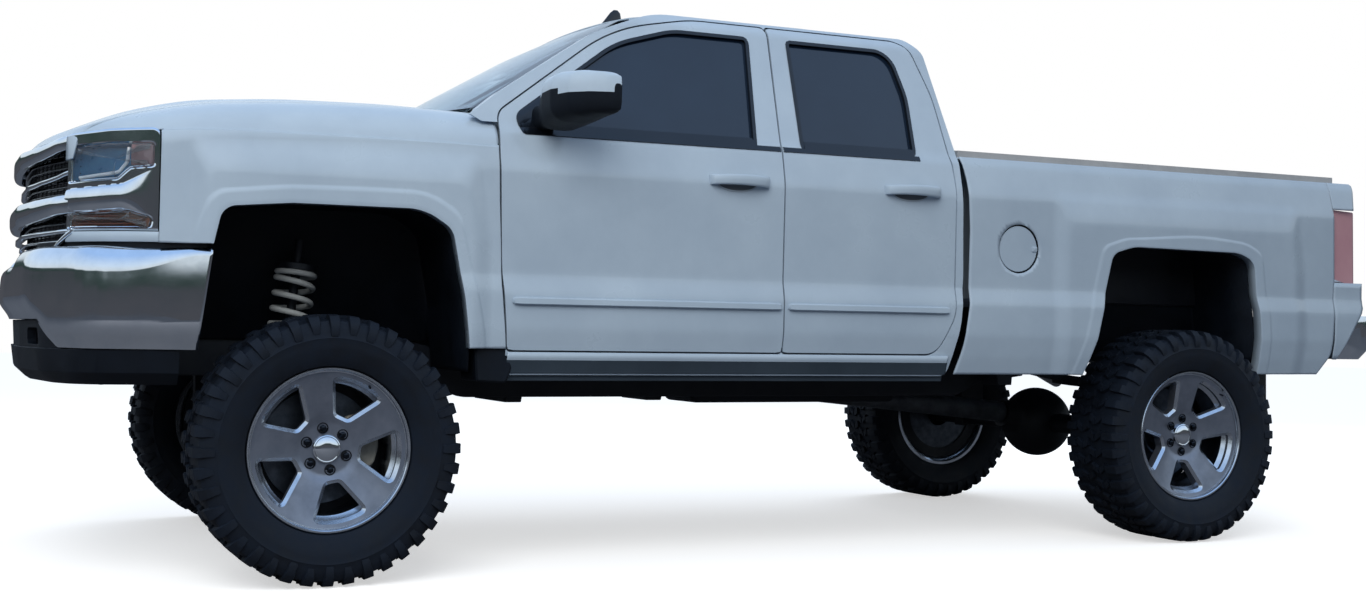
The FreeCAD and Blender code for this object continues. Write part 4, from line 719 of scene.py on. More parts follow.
class BodyLines:
    """The body's master surfaces: section of the sides, plan of the nose, crown of hood and roof."""

    # section of the sides: heights and half-widths
    SIDE_Z = np.array([0.600, 0.690, 0.768, 0.850, 0.972, 1.036, 1.400, 1.528, 1.562, 2.004, 2.052])
    SIDE_Y = np.array([0.935, 0.962, 0.984, 1.000, 1.003, 0.990, 1.001, 0.976, 0.956, 0.803, 0.748])
    # nose: stations, then heights of the fender's shoulder, the hood's edge and the hood's middle
    NOSE_X = np.array([-1.0, -0.82, -0.64, -0.407, -0.1, 0.265, 0.604])
    SHOULDER = np.array([1.300, 1.376, 1.410, 1.440, 1.456, 1.466, 1.470])
    CREST = np.array([1.380, 1.464, 1.534, 1.586, 1.610, 1.620, 1.618])
    MIDDLE = np.array([1.420, 1.512, 1.590, 1.646, 1.672, 1.680, 1.672])
    # half-width that the fender's shoulder rolls to, length of that roll, half-width of the hood
    CREST_Y = 0.745
    ROLL = 0.18
    HOOD_EDGE = 0.773
    RIDGE_Y, RIDGE_WIDTH, RIDGE_RISE = 0.46, 0.055, 0.010
    ROOF_HALF = 0.742

    def __init__(self) -> None:
        """Tabulates the section and the plan finely, with their corners softened."""
        self._z = np.arange(0.60, 2.12, 0.001)
        raw = np.interp(self._z, self.SIDE_Z, self.SIDE_Y)
        self._y = self._softened(raw, 9.0)
        self._x = np.arange(-1.05, 0.70, 0.002)
        self._nose = {
            k: self._softened(np.interp(self._x, self.NOSE_X, t), 30.0)
            for k, t in (("s", self.SHOULDER), ("c", self.CREST), ("m", self.MIDDLE))
        }
        self.plan = rounded(
            [
                (-0.948, 0), (-0.940, 0.330, 0.6), (-0.900, 0.520, 0.3), (-0.822, 0.760, 0.3),
                (-0.620, 0.940, 0.5), (-0.340, 0.992, 0.9), (0.100, 0.998), (0.62, 0.998)
            ],
            closed=False
        )

    @staticmethod
    def _softened(values: Array, sigma: float) -> Array:
        """A table smoothed by a bell curve of the given width in steps."""
        reach = int(3 * sigma)
        bell = np.exp(-0.5 * (np.arange(-reach, reach + 1) / sigma) ** 2)
        padded = np.pad(values, reach, mode="reflect", reflect_type="odd")
        return np.convolve(padded, bell / bell.sum(), mode="valid")

    def side(self, z: Array) -> Array:
        """Half-width of the body side at a height."""
        return np.interp(z, self._z, self._y)

    def nose(self, key: str, x: Array) -> Array:
        """Height of the nose's shoulder, crest or middle line at a station."""
        return np.interp(x, self._x, self._nose[key])

    def plan_half(self, x: Array) -> Array:
        """Half-width of the nose in plan at a station."""
        return np.interp(x, self.plan[:, 0], self.plan[:, 1])

    def front(self, x: Array, s: Array) -> Array:
        """The fender's surface over station and run.

        Up to the shoulder the run is the height and the surface is the side's section, held inside the
        plan. Past it the surface rolls over a quarter ellipse to the hood's edge: y = c + a cos(t),
        z = shoulder + b sin(t).

        Args:
            x: Stations.
            s: Runs in metres up the section.

        Returns:
            Points (..., 3) of the right-hand side.
        """
        shoulder, crest = self.nose("s", x), self.nose("c", x)
        low = soft_min(self.side(np.minimum(s, shoulder)), self.plan_half(x), 0.02)
        turn = np.clip((s - shoulder) / self.ROLL, 0, math.pi / 2)
        y = np.where(s > shoulder, self.CREST_Y + (low - self.CREST_Y) * np.cos(turn), low)
        z = np.where(s > shoulder, shoulder + (crest - shoulder) * np.sin(turn), s)
        lift = self.blister(x, s, -0.462, 0.552, 1.453, 0.120)
        return xyz(x, y + lift, z)

    def blister(self, x: Array, z: Array, front: float, rear: float, top: float, run: float) -> Array:
        """How far the flared area round a wheel arch stands out.

        The distance inside its three soft edges, each over its own run, is joined by a rounded minimum
        and passed through an S-curve. The rear edge leans forward as it rises.
        """
        left = (x - front) / (0.55 * run)
        right = (rear - np.clip((z - 1.15) * 0.17, 0, 0.06) - x) / (0.7 * run)
        up = (top - z) / run
        inside = soft_min(soft_min(left, right, 0.35), up, 0.35)
        return 0.021 * smooth_step(inside)

    def hood(self, x: Array, y: Array) -> Array:
        """Height of the hood: a crown across, with two soft ridges that fade towards the nose."""
        crest, middle = self.nose("c", x), self.nose("m", x)
        share = np.abs(y) / self.HOOD_EDGE
        crown = middle - (middle - crest) * share**2.4
        grown = smooth_step((x + 0.9) / 0.5)
        ridge = np.exp(-(((np.abs(y) - self.RIDGE_Y) / self.RIDGE_WIDTH) ** 2)) * grown
        return crown + self.RIDGE_RISE * ridge - 0.006 * smooth_step(1 - share / 0.5) * grown

    # roof: stations, then heights of its edge and middle
    ROOF_X = np.array([1.100, 1.250, 1.450, 1.900, 2.300, 2.404])
    ROOF_EDGE = np.array([2.018, 2.042, 2.052, 2.054, 2.048, 2.022])
    ROOF_MIDDLE = np.array([2.052, 2.084, 2.104, 2.112, 2.098, 2.064])

    def roof(self, x: Array, y: Array) -> Array:
        """Height of the roof: an arch across, flatter in the middle."""
        edge, middle = np.interp(x, self.ROOF_X, self.ROOF_EDGE), np.interp(x, self.ROOF_X, self.ROOF_MIDDLE)
        return middle - (middle - edge) * (np.abs(y) / self.ROOF_HALF) ** 2.2


LINES = BodyLines()


def mirror(points: Array, side: Side) -> Array:
    """Right-hand points carried to a side."""
    out = np.array(points, dtype=float)
    out[..., 1] *= side.value
    return out


def ring_slab(
    piece: Piece, outer: Array, inner: Array, near: Callable, far: Callable, rows: int, side: Side,
    back: Finish | None = None
) -> None:
    """A panel between two loops in side view, with an outer face, an inner face and its edges.

    Args:
        piece: The piece that gets it.
        outer: Loop (n, 2) in station and height.
        inner: Matching loop round the opening.
        near: Outer face's half-width as a function of height.
        far: Inner face's half-width.
        rows: Rows of points between the loops on the outer face.
        side: Side of the vehicle.
        back: The inner face's finish.
    """

    def face(count: int, width: Callable) -> Array:
        """The band between the loops on one face."""
        band = between(inner, outer, np.linspace(0, 1, count))
        return mirror(xyz(band[..., 0], width(band[..., 1]), band[..., 1]), side)

    front, rear = face(rows, near), face(max(3, rows // 6), far)
    piece.grid(front, wrap_v=True)
    piece.grid(rear, wrap_v=True, finish=back)
    for a, b in ((front[0], rear[0]), (front[-1], rear[-1])):
        piece.grid(np.stack([a, b]), wrap_v=True)


def inset(loop: Array, by: float) -> Array:
    """A closed loop moved inwards, each point along its own normal."""
    run = np.roll(loop, -1, 0) - np.roll(loop, 1, 0)
    run /= np.linalg.norm(run, axis=1)[:, None]
    normal = np.stack([run[:, 1], -run[:, 0]], axis=-1)
    area = np.sum(loop[:, 0] * np.roll(loop[:, 1], -1) - np.roll(loop[:, 0], -1) * loop[:, 1])
    return loop - normal * by * np.sign(area)


def grid_cells(nu: int, nv: int) -> Array:
    """Point numbers of the cells of a grid."""
    a, b = np.meshgrid(np.arange(nu - 1), np.arange(nv - 1), indexing="ij")
    corners = [a * nv + b, (a + 1) * nv + b, (a + 1) * nv + b + 1, a * nv + b + 1]
    return np.stack(corners, axis=-1).reshape(-1, 4)


def between(inner: Array, outer: Array, shares: Array) -> Array:
    """Loops between two matching loops, one at each share of the way."""
    t = shares[:, None, None]
    return inner[None] * (1 - t) + outer[None] * t


# Rolled lip round the wheel arches: how far it stands out, how wide it is and how fast it fades
LIP_RISE, LIP_WIDTH, LIP_FADE = 0.0032, 0.045, 0.013


def arch_lip(band: Array, edge: Array) -> Array:
    """How far the rolled lip round a wheel arch stands out at the points of a band."""
    away = np.linalg.norm(band - edge, axis=-1)
    return LIP_RISE * (1 - smooth_step((away - LIP_WIDTH) / LIP_FADE))


def slab(loop: Array, steps: Sequence[tuple[float, float]]) -> Array:
    """Rings of a plate's outline: each step is how far it is drawn in and the half-width it lies at."""
    rings = []
    for by, y in steps:
        ring = inset(loop, by)
        rings.append(xyz(ring[:, 0], y, ring[:, 1]))
    return np.stack(rings)


def side_rings(loop: Array, steps: Sequence[tuple[float, float]]) -> Array:
    """Rings on the body's side: each step is how far the outline is drawn in and how far out it lies."""
    rings = []
    for by, lift in steps:
        ring = inset(loop, by)
        rings.append(xyz(ring[:, 0], LINES.side(ring[:, 1]) + lift, ring[:, 1]))
    return np.stack(rings)


def plate(name: str, finish: Finish, loop: Array, steps: Sequence[tuple[float, float]], side: Side) -> None:
    """Builds an upright plate of the chassis from its outline and the steps of its rings."""
    piece = Piece(f"{name}_{side.word}", "chassis", finish)
    piece.loft(mirror(slab(loop, steps), side))
    piece.build()


@dataclass
class Door:
    """A side door: pressed skin, inner panel, handle, rubbing strip, belt mouldings and window channel."""

    end: str
    outline: tuple[Corner, ...]
    window: tuple[Corner, ...]
    outline_keys: tuple[Corner, ...]
    window_keys: tuple[Corner, ...]
    handle: tuple[float, float]
    strip: tuple[float, float]
    belt: tuple[float, float]
    counts: tuple[int, ...] = (44, 50, 40, 24, 44, 50)

    def build(self, side: Side) -> None:
        """Builds the door's pieces on one side."""
        body = f"door_{self.end}_{side.word}"
        outer = keyed_loop(rounded(self.outline), self.outline_keys, self.counts)
        inner = keyed_loop(rounded(self.window), self.window_keys, self.counts)
        shell = Piece(body + "_shell", body, PAINT, (body,), weld=1e-5)
        ring_slab(shell, outer, inner, LINES.side, lambda z: LINES.side(z) - 0.010, 56, side)
        shell.build()
        core = Piece(body + "_inner", body, INNER_PAINT, weld=1e-5)
        loops = inset(outer, 0.022), inset(inner, -0.002)
        ring_slab(core, *loops, lambda z: LINES.side(z) - 0.0102, self._back, 24, side, TRIM)
        core.build()
        self._furniture(body, side)

    @staticmethod
    def _back(z: Array) -> Array:
        """Half-width of the door's inner face."""
        return LINES.side(z) - np.interp(z, [0.7, 1.45, 1.60, 2.05], [0.058, 0.060, 0.040, 0.034])

    def _furniture(self, body: str, side: Side) -> None:
        """Handle with its cup, whose floor is painted shade, rubbing strip and the black mouldings round the
        glass.
        """
        grip = Piece(body + "_handle", body, PAINT)
        x0, x1 = self.handle
        u = np.linspace(0, 1, 40)
        x = x0 + (x1 - x0) * u
        out = 1.0015 + 0.034 * np.sin(math.pi * u) ** 0.35 - 0.010 * (1 - np.sin(math.pi * u) ** 0.5)
        z = 1.405 + 0.003 * np.sin(math.pi * u)
        turn = full_turn(20)
        height, depth = 0.0185 + 0.003 * u[:, None], 0.0105
        ring = xyz(
            x[:, None] + 0 * turn, out[:, None] + depth * np.sign(np.cos(turn)) * np.abs(np.cos(turn)) ** 0.7,
            z[:, None] + height * np.sign(np.sin(turn)) * np.abs(np.sin(turn)) ** 0.6
        )
        grip.loft(mirror(ring, side))
        grip.build()
        cup = Piece(body + "_handle_cup", body, INNER_PAINT)
        t = full_turn(40)
        mid, level = (x0 + x1) / 2 - 0.01, 1.398
        rim, lip = (
            xyz(mid + reach * np.cos(t), LINES.side(level + rise * np.sin(t)) + lift, level + rise * np.sin(t))
            for reach, rise, lift in ((0.086, 0.034, 0.0012), (0.080, 0.028, 0.0030))
        )
        cup.grid(mirror(np.stack([rim, lip]), side), wrap_v=True)
        # Painted shade: the cup's floor takes the flap plastic's dark grey, standing for the shade in the
        # recess behind the handle
        cup.fan(mirror(lip, side), finish=FLAP_PLASTIC_AND_CUP_SHADE)
        cup.build()
        strip = Piece(body + "_rub_strip", body, PAINT)
        a, b = self.strip
        section = np.array(
            [(0.9335, 0.0), (0.9340, 0.012), (0.9370, 0.0160), (0.9550, 0.0145), (0.9590, 0.010), (0.9605, 0.0)]
        )
        stations = np.concatenate(
            [[a, a + 0.002, a + 0.006], np.linspace(a + 0.03, b - 0.03, 8), [b - 0.006, b - 0.002, b]]
        )
        scale = np.concatenate([[0.0, 0.55, 0.9], np.ones(8), [0.9, 0.55, 0.0]])
        middle = 0.947
        z = middle + (section[:, 0] - middle) * np.maximum(scale, 0.6)[:, None]
        y = LINES.side(z) + section[:, 1] * scale[:, None]
        strip.grid(mirror(xyz(np.broadcast_to(stations[:, None], z.shape), y, z), side))
        strip.build()
        self._window_trim(body, side)

    def _window_trim(self, body: str, side: Side) -> None:
        """Black channel round the window opening, wider along the belt."""
        trim = Piece(body + "_window_channel", body, GLOSS_BLACK)
        loop = keyed_loop(rounded(self.window), self.window_keys, self.counts)
        low = smooth_step((1.565 - loop[:, 1]) / 0.02)[:, None]
        out = inset(loop, -0.003) * (1 - low) + (loop - np.array([0.0, 0.021])) * low
        into = inset(loop, 0.011 + 0.016 * low)
        rows = [
            xyz(line[:, 0], LINES.side(line[:, 1]) + lift, line[:, 1])
            for line, lift in ((out, 0.0008), (out, 0.0035), (into, 0.0035), (into, -0.014))
        ]
        trim.grid(mirror(np.stack(rows), side), wrap_v=True)
        belt = np.linspace(self.belt[0], self.belt[1], 12)
        rows = [
            xyz(belt, LINES.side(np.full(12, z)) + lift, z)
            for z, lift in ((1.527, 0.0002), (1.529, 0.0045), (1.546, 0.0045), (1.548, 0.0002))
        ]
        trim.grid(mirror(np.stack(rows), side), wrap_u=True)
        trim.build()


DOORS = (
    Door(
        end="front",
        outline=(
            (0.610, 0.776, 0.014), (0.585, 1.080, 0.6), (0.573, 1.450, 0.6), (0.578, 1.604, 0.06),
            (1.052, 1.958, 0.7), (1.400, 2.033, 0.5), (1.711, 2.033, 0.014), (1.687, 1.531, 0.9),
            (1.687, 0.776, 0.010)
        ),
        window=(
            (0.652, 1.548, 0.022), (0.640, 1.600, 0.045), (1.058, 1.908, 0.42), (1.300, 1.981, 0.32),
            (1.622, 1.981, 0.02), (1.586, 1.548, 0.01)
        ),
        outline_keys=(
            (0.610, 0.776), (0.575, 1.540), (1.052, 1.958), (1.711, 2.033), (1.687, 1.531), (1.687, 0.776)
        ),
        window_keys=(
            (0.860, 1.548), (0.652, 1.548), (1.058, 1.908), (1.622, 1.981), (1.586, 1.548), (1.400, 1.548)
        ),
        handle=(1.374, 1.621),
        strip=(0.622, 1.676),
        belt=(0.668, 1.684),
    ),
    Door(
        end="rear",
        outline=(
            (1.693, 0.776, 0.01), (1.693, 1.531, 0.9), (1.720, 2.033, 0.014), (2.350, 2.033, 0.09),
            (2.424, 1.800, 0.5), (2.457, 1.450, 0.7), (2.457, 0.930, 0.17), (2.372, 0.776, 0.08)
        ),
        window=(
            (1.779, 1.548, 0.01), (1.790, 1.984, 0.016), (2.262, 1.984, 0.095), (2.304, 1.790, 0.3),
            (2.292, 1.556, 0.014)
        ),
        outline_keys=(
            (1.693, 0.776), (1.693, 1.531), (1.720, 2.033), (2.350, 2.033), (2.452, 1.531), (2.400, 0.800)
        ),
        window_keys=(
            (1.920, 1.548), (1.779, 1.548), (1.790, 1.984), (2.262, 1.984), (2.292, 1.556), (2.150, 1.553)
        ),
        handle=(2.127, 2.380),
        strip=(1.704, 2.424),
        belt=(1.696, 2.304),
        counts=(36, 40, 36, 28, 40, 36),
    ),
)


@dataclass
class FrontBody:
    """Fenders and hood."""

    # rear edge of the fender: stations over the runs below
    edge_x: tuple[float, ...] = (0.604, 0.583, 0.579, 0.571, 0.566, 0.572, 0.574)
    edge_s: tuple[float, ...] = (0.782, 1.000, 1.120, 1.290, 1.465, 1.600, 1.740)
    seam: float = 1.486
    lamp_rear: float = -0.548
    nose_end: float = -0.818
    # stations of the rocker's drain holes
    drains: tuple[float, ...] = (0.74, 0.91, 1.10, 1.29, 1.50, 1.69, 1.90, 2.04, 2.17, 2.32)

    def _top_run(self, x: Array) -> Array:
        """Run at which the fender meets the hood's shut line, 6 mm outside the hood's edge."""
        wide = np.minimum(LINES.side(LINES.nose("s", x)), LINES.plan_half(x))
        share = np.clip((LINES.HOOD_EDGE + 0.006 - LINES.CREST_Y) / (wide - LINES.CREST_Y), 0, 1)
        return LINES.nose("s", x) + LINES.ROLL * np.arccos(share)

    def fender(self, side: Side) -> None:
        """One fender: band round the arch, upper band to the hood, arch lip."""
        rear = np.interp(self.seam, self.edge_s, self.edge_x)
        arch = rounded(
            [
                (-0.3925, 1.106), (-0.366, 1.232, 0.060), (-0.140, 1.252, 0.3), (0.300, 1.252, 0.4),
                (0.405, 1.185, 0.08), (0.452, 0.950, 0.4), (0.473, 0.782)
            ],
            closed=False
        )
        down_s = np.linspace(self.seam, 0.782, 60)
        down = np.stack([np.interp(down_s, self.edge_s, self.edge_x), down_s], axis=-1)
        outer_line = np.concatenate([[[self.lamp_rear, 1.106], [self.lamp_rear, self.seam]], down])
        keys_out = ((self.lamp_rear, 1.106), (self.lamp_rear, self.seam), (rear, self.seam), (0.604, 0.782))
        keys_in = ((-0.3925, 1.106), (-0.352, 1.222), (0.420, 1.150), (0.473, 0.782))
        counts = (44, 110, 70)
        outer = keyed_loop(outer_line, keys_out, counts, closed=False)
        inner = keyed_loop(arch, keys_in, counts, closed=False)
        band = between(inner, outer, np.linspace(0, 1, 48))
        piece = Piece(f"fender_{side.word}", "chassis", PAINT, ("front_fenders",) if side is Side.RIGHT else ())
        flare = LINES.front(band[..., 0], band[..., 1])
        flare[..., 1] += arch_lip(band, inner)
        piece.grid(mirror(flare, side), flip=side is Side.RIGHT)
        top_x = outer[counts[0] : counts[0] + counts[1] + 1, 0]
        v = np.linspace(0, 1, 26)
        upper_x = top_x[:, None] + 0 * v
        upper_s = self.seam + (self._top_run(top_x)[:, None] - self.seam) * v
        piece.grid(mirror(LINES.front(upper_x, upper_s), side), flip=side is Side.RIGHT)
        fore_x = np.linspace(self.nose_end, top_x[0], 30)
        foot = np.interp(fore_x, [self.nose_end, top_x[0]], [1.546, self.seam])
        fore_s = foot[:, None] + (self._top_run(fore_x) - foot)[:, None] * v
        piece.grid(mirror(LINES.front(fore_x[:, None] + 0 * v, fore_s), side), flip=side is Side.RIGHT)
        edge = flare[0]
        deep = edge + np.array([0.0, -0.034, 0.0])
        piece.grid(mirror(np.stack([deep, edge]), side), flip=side is Side.RIGHT)
        piece.build(thickness=0.007, outward=False)

    def hood(self) -> None:
        """The hood: crowned skin from the grille's top to the cowl, with its turned-down front edge."""
        y = np.linspace(-LINES.HOOD_EDGE, LINES.HOOD_EDGE, 91)
        front = np.interp(np.abs(y), LINES.plan[:, 1], LINES.plan[:, 0]) + 0.012
        front = np.maximum(front, -0.936)
        rear = 0.330 + 0.140 * smooth_step(np.abs(y) / LINES.HOOD_EDGE)
        u = np.concatenate([np.linspace(0, 0.1, 16), np.linspace(0.12, 1, 70)])
        x = front[:, None] + (rear - front)[:, None] * u
        z = LINES.hood(x, y[:, None] + 0 * u)
        drop = 0.020 * (1 - smooth_step((x - front[:, None]) / 0.045))
        top = xyz(x, y[:, None] + 0 * u, z - drop)
        lip_x = front[:, None] - np.array([[0.006, 0.004, 0.0]]) + 0.004
        lip_z = (z[:, 0] - 0.020)[:, None] - np.array([[0.030, 0.014, 0.004]])
        lip = xyz(lip_x, y[:, None] + 0 * lip_x, lip_z)
        piece = Piece("hood_skin", "hood", PAINT, ("hood",))
        piece.grid(np.concatenate([lip, top], axis=1), flip=True)
        piece.build(thickness=0.010, outward=False)
        frame_piece = Piece("hood_inner_frame", "hood", INNER_PAINT)
        v = np.linspace(-0.62, 0.62, 40)
        for x0, x1 in ((-0.78, -0.70), (-0.20, -0.12), (0.20, 0.28)):
            xs = np.array([x0, x0 + 0.015, x1 - 0.015, x1])
            under = (
                LINES.hood(xs[:, None] + 0 * v, v[None] + 0 * xs[:, None]) - 0.012
                - np.array([0, 0.022, 0.022, 0])[:, None]
            )
            frame_piece.grid(xyz(xs[:, None] + 0 * v, v[None] + 0 * xs[:, None], under))
        frame_piece.build(thickness=0.002, outward=False)

    def _liner(self, side: Side) -> None:
        """Dark liner round the front arch, from the fender's lip to the inner wall."""
        arch = rounded(
            [
                (-0.394, 1.020), (-0.404, 1.110, 0.05), (-0.378, 1.246, 0.066), (-0.140, 1.266, 0.3),
                (0.305, 1.266, 0.4), (0.414, 1.196, 0.08), (0.462, 0.950, 0.4), (0.482, 0.700)
            ],
            closed=False
        )
        arch = along(arch, np.linspace(0, 1, 100))
        edge = LINES.front(arch[:, 0], arch[:, 1])
        piece = Piece(f"front_arch_liner_{side.word}", "chassis", BLACK_PLASTIC)
        rows = [edge - np.array([0.0, 0.037, 0.0])]
        rows += [xyz(arch[:, 0], y, arch[:, 1]) for y in (0.76, 0.50)]
        rows.append(xyz(arch[:, 0], 0.478, 0.80))
        piece.grid(mirror(np.stack(rows), side))
        piece.build(thickness=0.003, outward=False)
        loop = rounded(
            [
                (0.504, 0.668, 0.01), (0.496, 0.790, 0.02), (0.604, 0.786, 0.01), (0.634, 0.720, 0.03),
                (0.612, 0.662, 0.02)
            ],
            step=0.006
        )
        steps = ((0.004, 0.800), (0.0, 0.806), (0.0, 0.975), (0.006, 0.981))
        plate("front_splash_flap", BLACK_PLASTIC, loop, steps, side)

    def _rocker(self, side: Side) -> None:
        """Stepped rocker flange with its oval drain holes, under the doors."""
        piece = Piece(f"rocker_flange_{side.word}", "chassis", PAINT, sharp=24.0)
        x = np.array([0.612, 0.618] + list(np.linspace(0.66, 2.38, 12)) + [2.424, 2.430])
        section = np.array(
            [
                (0.7700, 0.9875), (0.7490, 0.9825), (0.7435, 0.9798), (0.7000, 0.9675), (0.6960, 0.9500),
                (0.6940, 0.9440), (0.6730, 0.9420), (0.6720, 0.9300)
            ]
        )
        rows = np.stack([xyz(x, y, z) for z, y in section])
        # The top rows keep the body's paint; the lower rows, which turn under, are dark blue-grey as painted
        # shade
        for part, finish in ((rows[:3], None), (rows[2:], ROCKER_STEP_SHADE)):
            piece.grid(mirror(part, side), flip=side is Side.LEFT, finish=finish)
        piece.build(thickness=0.004, outward=False)
        # Painted shade: each drain hole is a closed black oval standing for the dark seen through the hole
        holes = Piece(f"rocker_drains_{side.word}", "chassis", SEAL_RUBBER_AND_HOLE_SHADE)
        spin = full_turn(20)
        for middle in self.drains:
            rim, lip = (
                xyz(
                    middle + wide * np.cos(spin),
                    np.interp(0.720 + tall * np.sin(spin), section[::-1, 0], section[::-1, 1]) + out,
                    0.720 + tall * np.sin(spin)
                )
                for wide, tall, out in ((0.0145, 0.0056, -0.0015), (0.0135, 0.0046, 0.0008))
            )
            holes.loft(mirror(np.stack([rim, lip]), side), (1, 0))
        holes.build()

    def build(self) -> None:
        """Builds hood, fenders, liners and rockers."""
        self.hood()
        for side in Side:
            self.fender(side)
            self._liner(side)
            self._rocker(side)


def plan_x(y: Array) -> Array:
    """Station of the nose's plan curve at a half-width."""
    return np.interp(np.abs(y), LINES.plan[:, 1], LINES.plan[:, 0])


def nose_wall(y: Array, z: Array, out: Array | float) -> Array:
    """Points on the upright wall that stands on the nose's plan curve.

    Args:
        y: Distances from the centre line, signed.
        z: Heights.
        out: Distances outside the wall, along the curve's normal.

    Returns:
        Points (..., 3).
    """
    y, z, out = np.broadcast_arrays(np.asarray(y, float), np.asarray(z, float), np.asarray(out, float))
    step = 0.004
    slope = (plan_x(np.abs(y) + step) - plan_x(np.maximum(np.abs(y) - step, 0))) / (2 * step)
    size = np.sqrt(1 + slope**2)
    return xyz(plan_x(y) - out / size, y + np.sign(y) * out * slope / size, z)


def plan_y(x: Array) -> Array:
    """Half-width of the nose's plan curve at a station."""
    return np.interp(x, LINES.plan[:, 0], LINES.plan[:, 1])


def wall_loop(corners: Sequence[Corner], step: float = 0.006) -> Array:
    """A rounded outline given in station and height, as half-width and height on the nose's wall."""
    loop = rounded(corners, step=step)
    return np.stack([plan_y(loop[:, 0]), loop[:, 1]], axis=-1)


def wall_rings(loop: Array, steps: Sequence[tuple[float, float]]) -> Array:
    """Rings on the nose's wall: each step is how far the outline is drawn in and how far out it lies."""
    return np.stack([nose_wall(inset(loop, by)[:, 0], inset(loop, by)[:, 1], out) for by, out in steps])


def loop_distance(points: Array, loop: Array) -> Array:
    """Distance from points to a closed loop, positive inside it.

    Args:
        points: Points (n, 2).
        loop: The loop's points (m, 2).

    Returns:
        Distances (n,), from the nearest edge; the sign comes from counting crossings of a ray.
    """
    a, b = loop, np.roll(loop, -1, 0)
    run = b - a
    rel = points[:, None] - a
    t = np.clip((rel * run).sum(-1) / np.maximum((run**2).sum(-1), 1e-12), 0, 1)
    gap = np.linalg.norm(rel - t[..., None] * run, axis=-1).min(axis=1)
    above = (a[:, 1] > points[:, 1:]) != (b[:, 1] > points[:, 1:])
    drop = np.where(np.abs(run[:, 1]) < 1e-12, 1e-12, run[:, 1])
    cross = a[:, 0] + (points[:, 1:] - a[:, 1]) * run[:, 0] / drop
    inside = (above & (points[:, :1] < cross)).sum(axis=1) % 2 == 1
    return np.where(inside, gap, -gap)


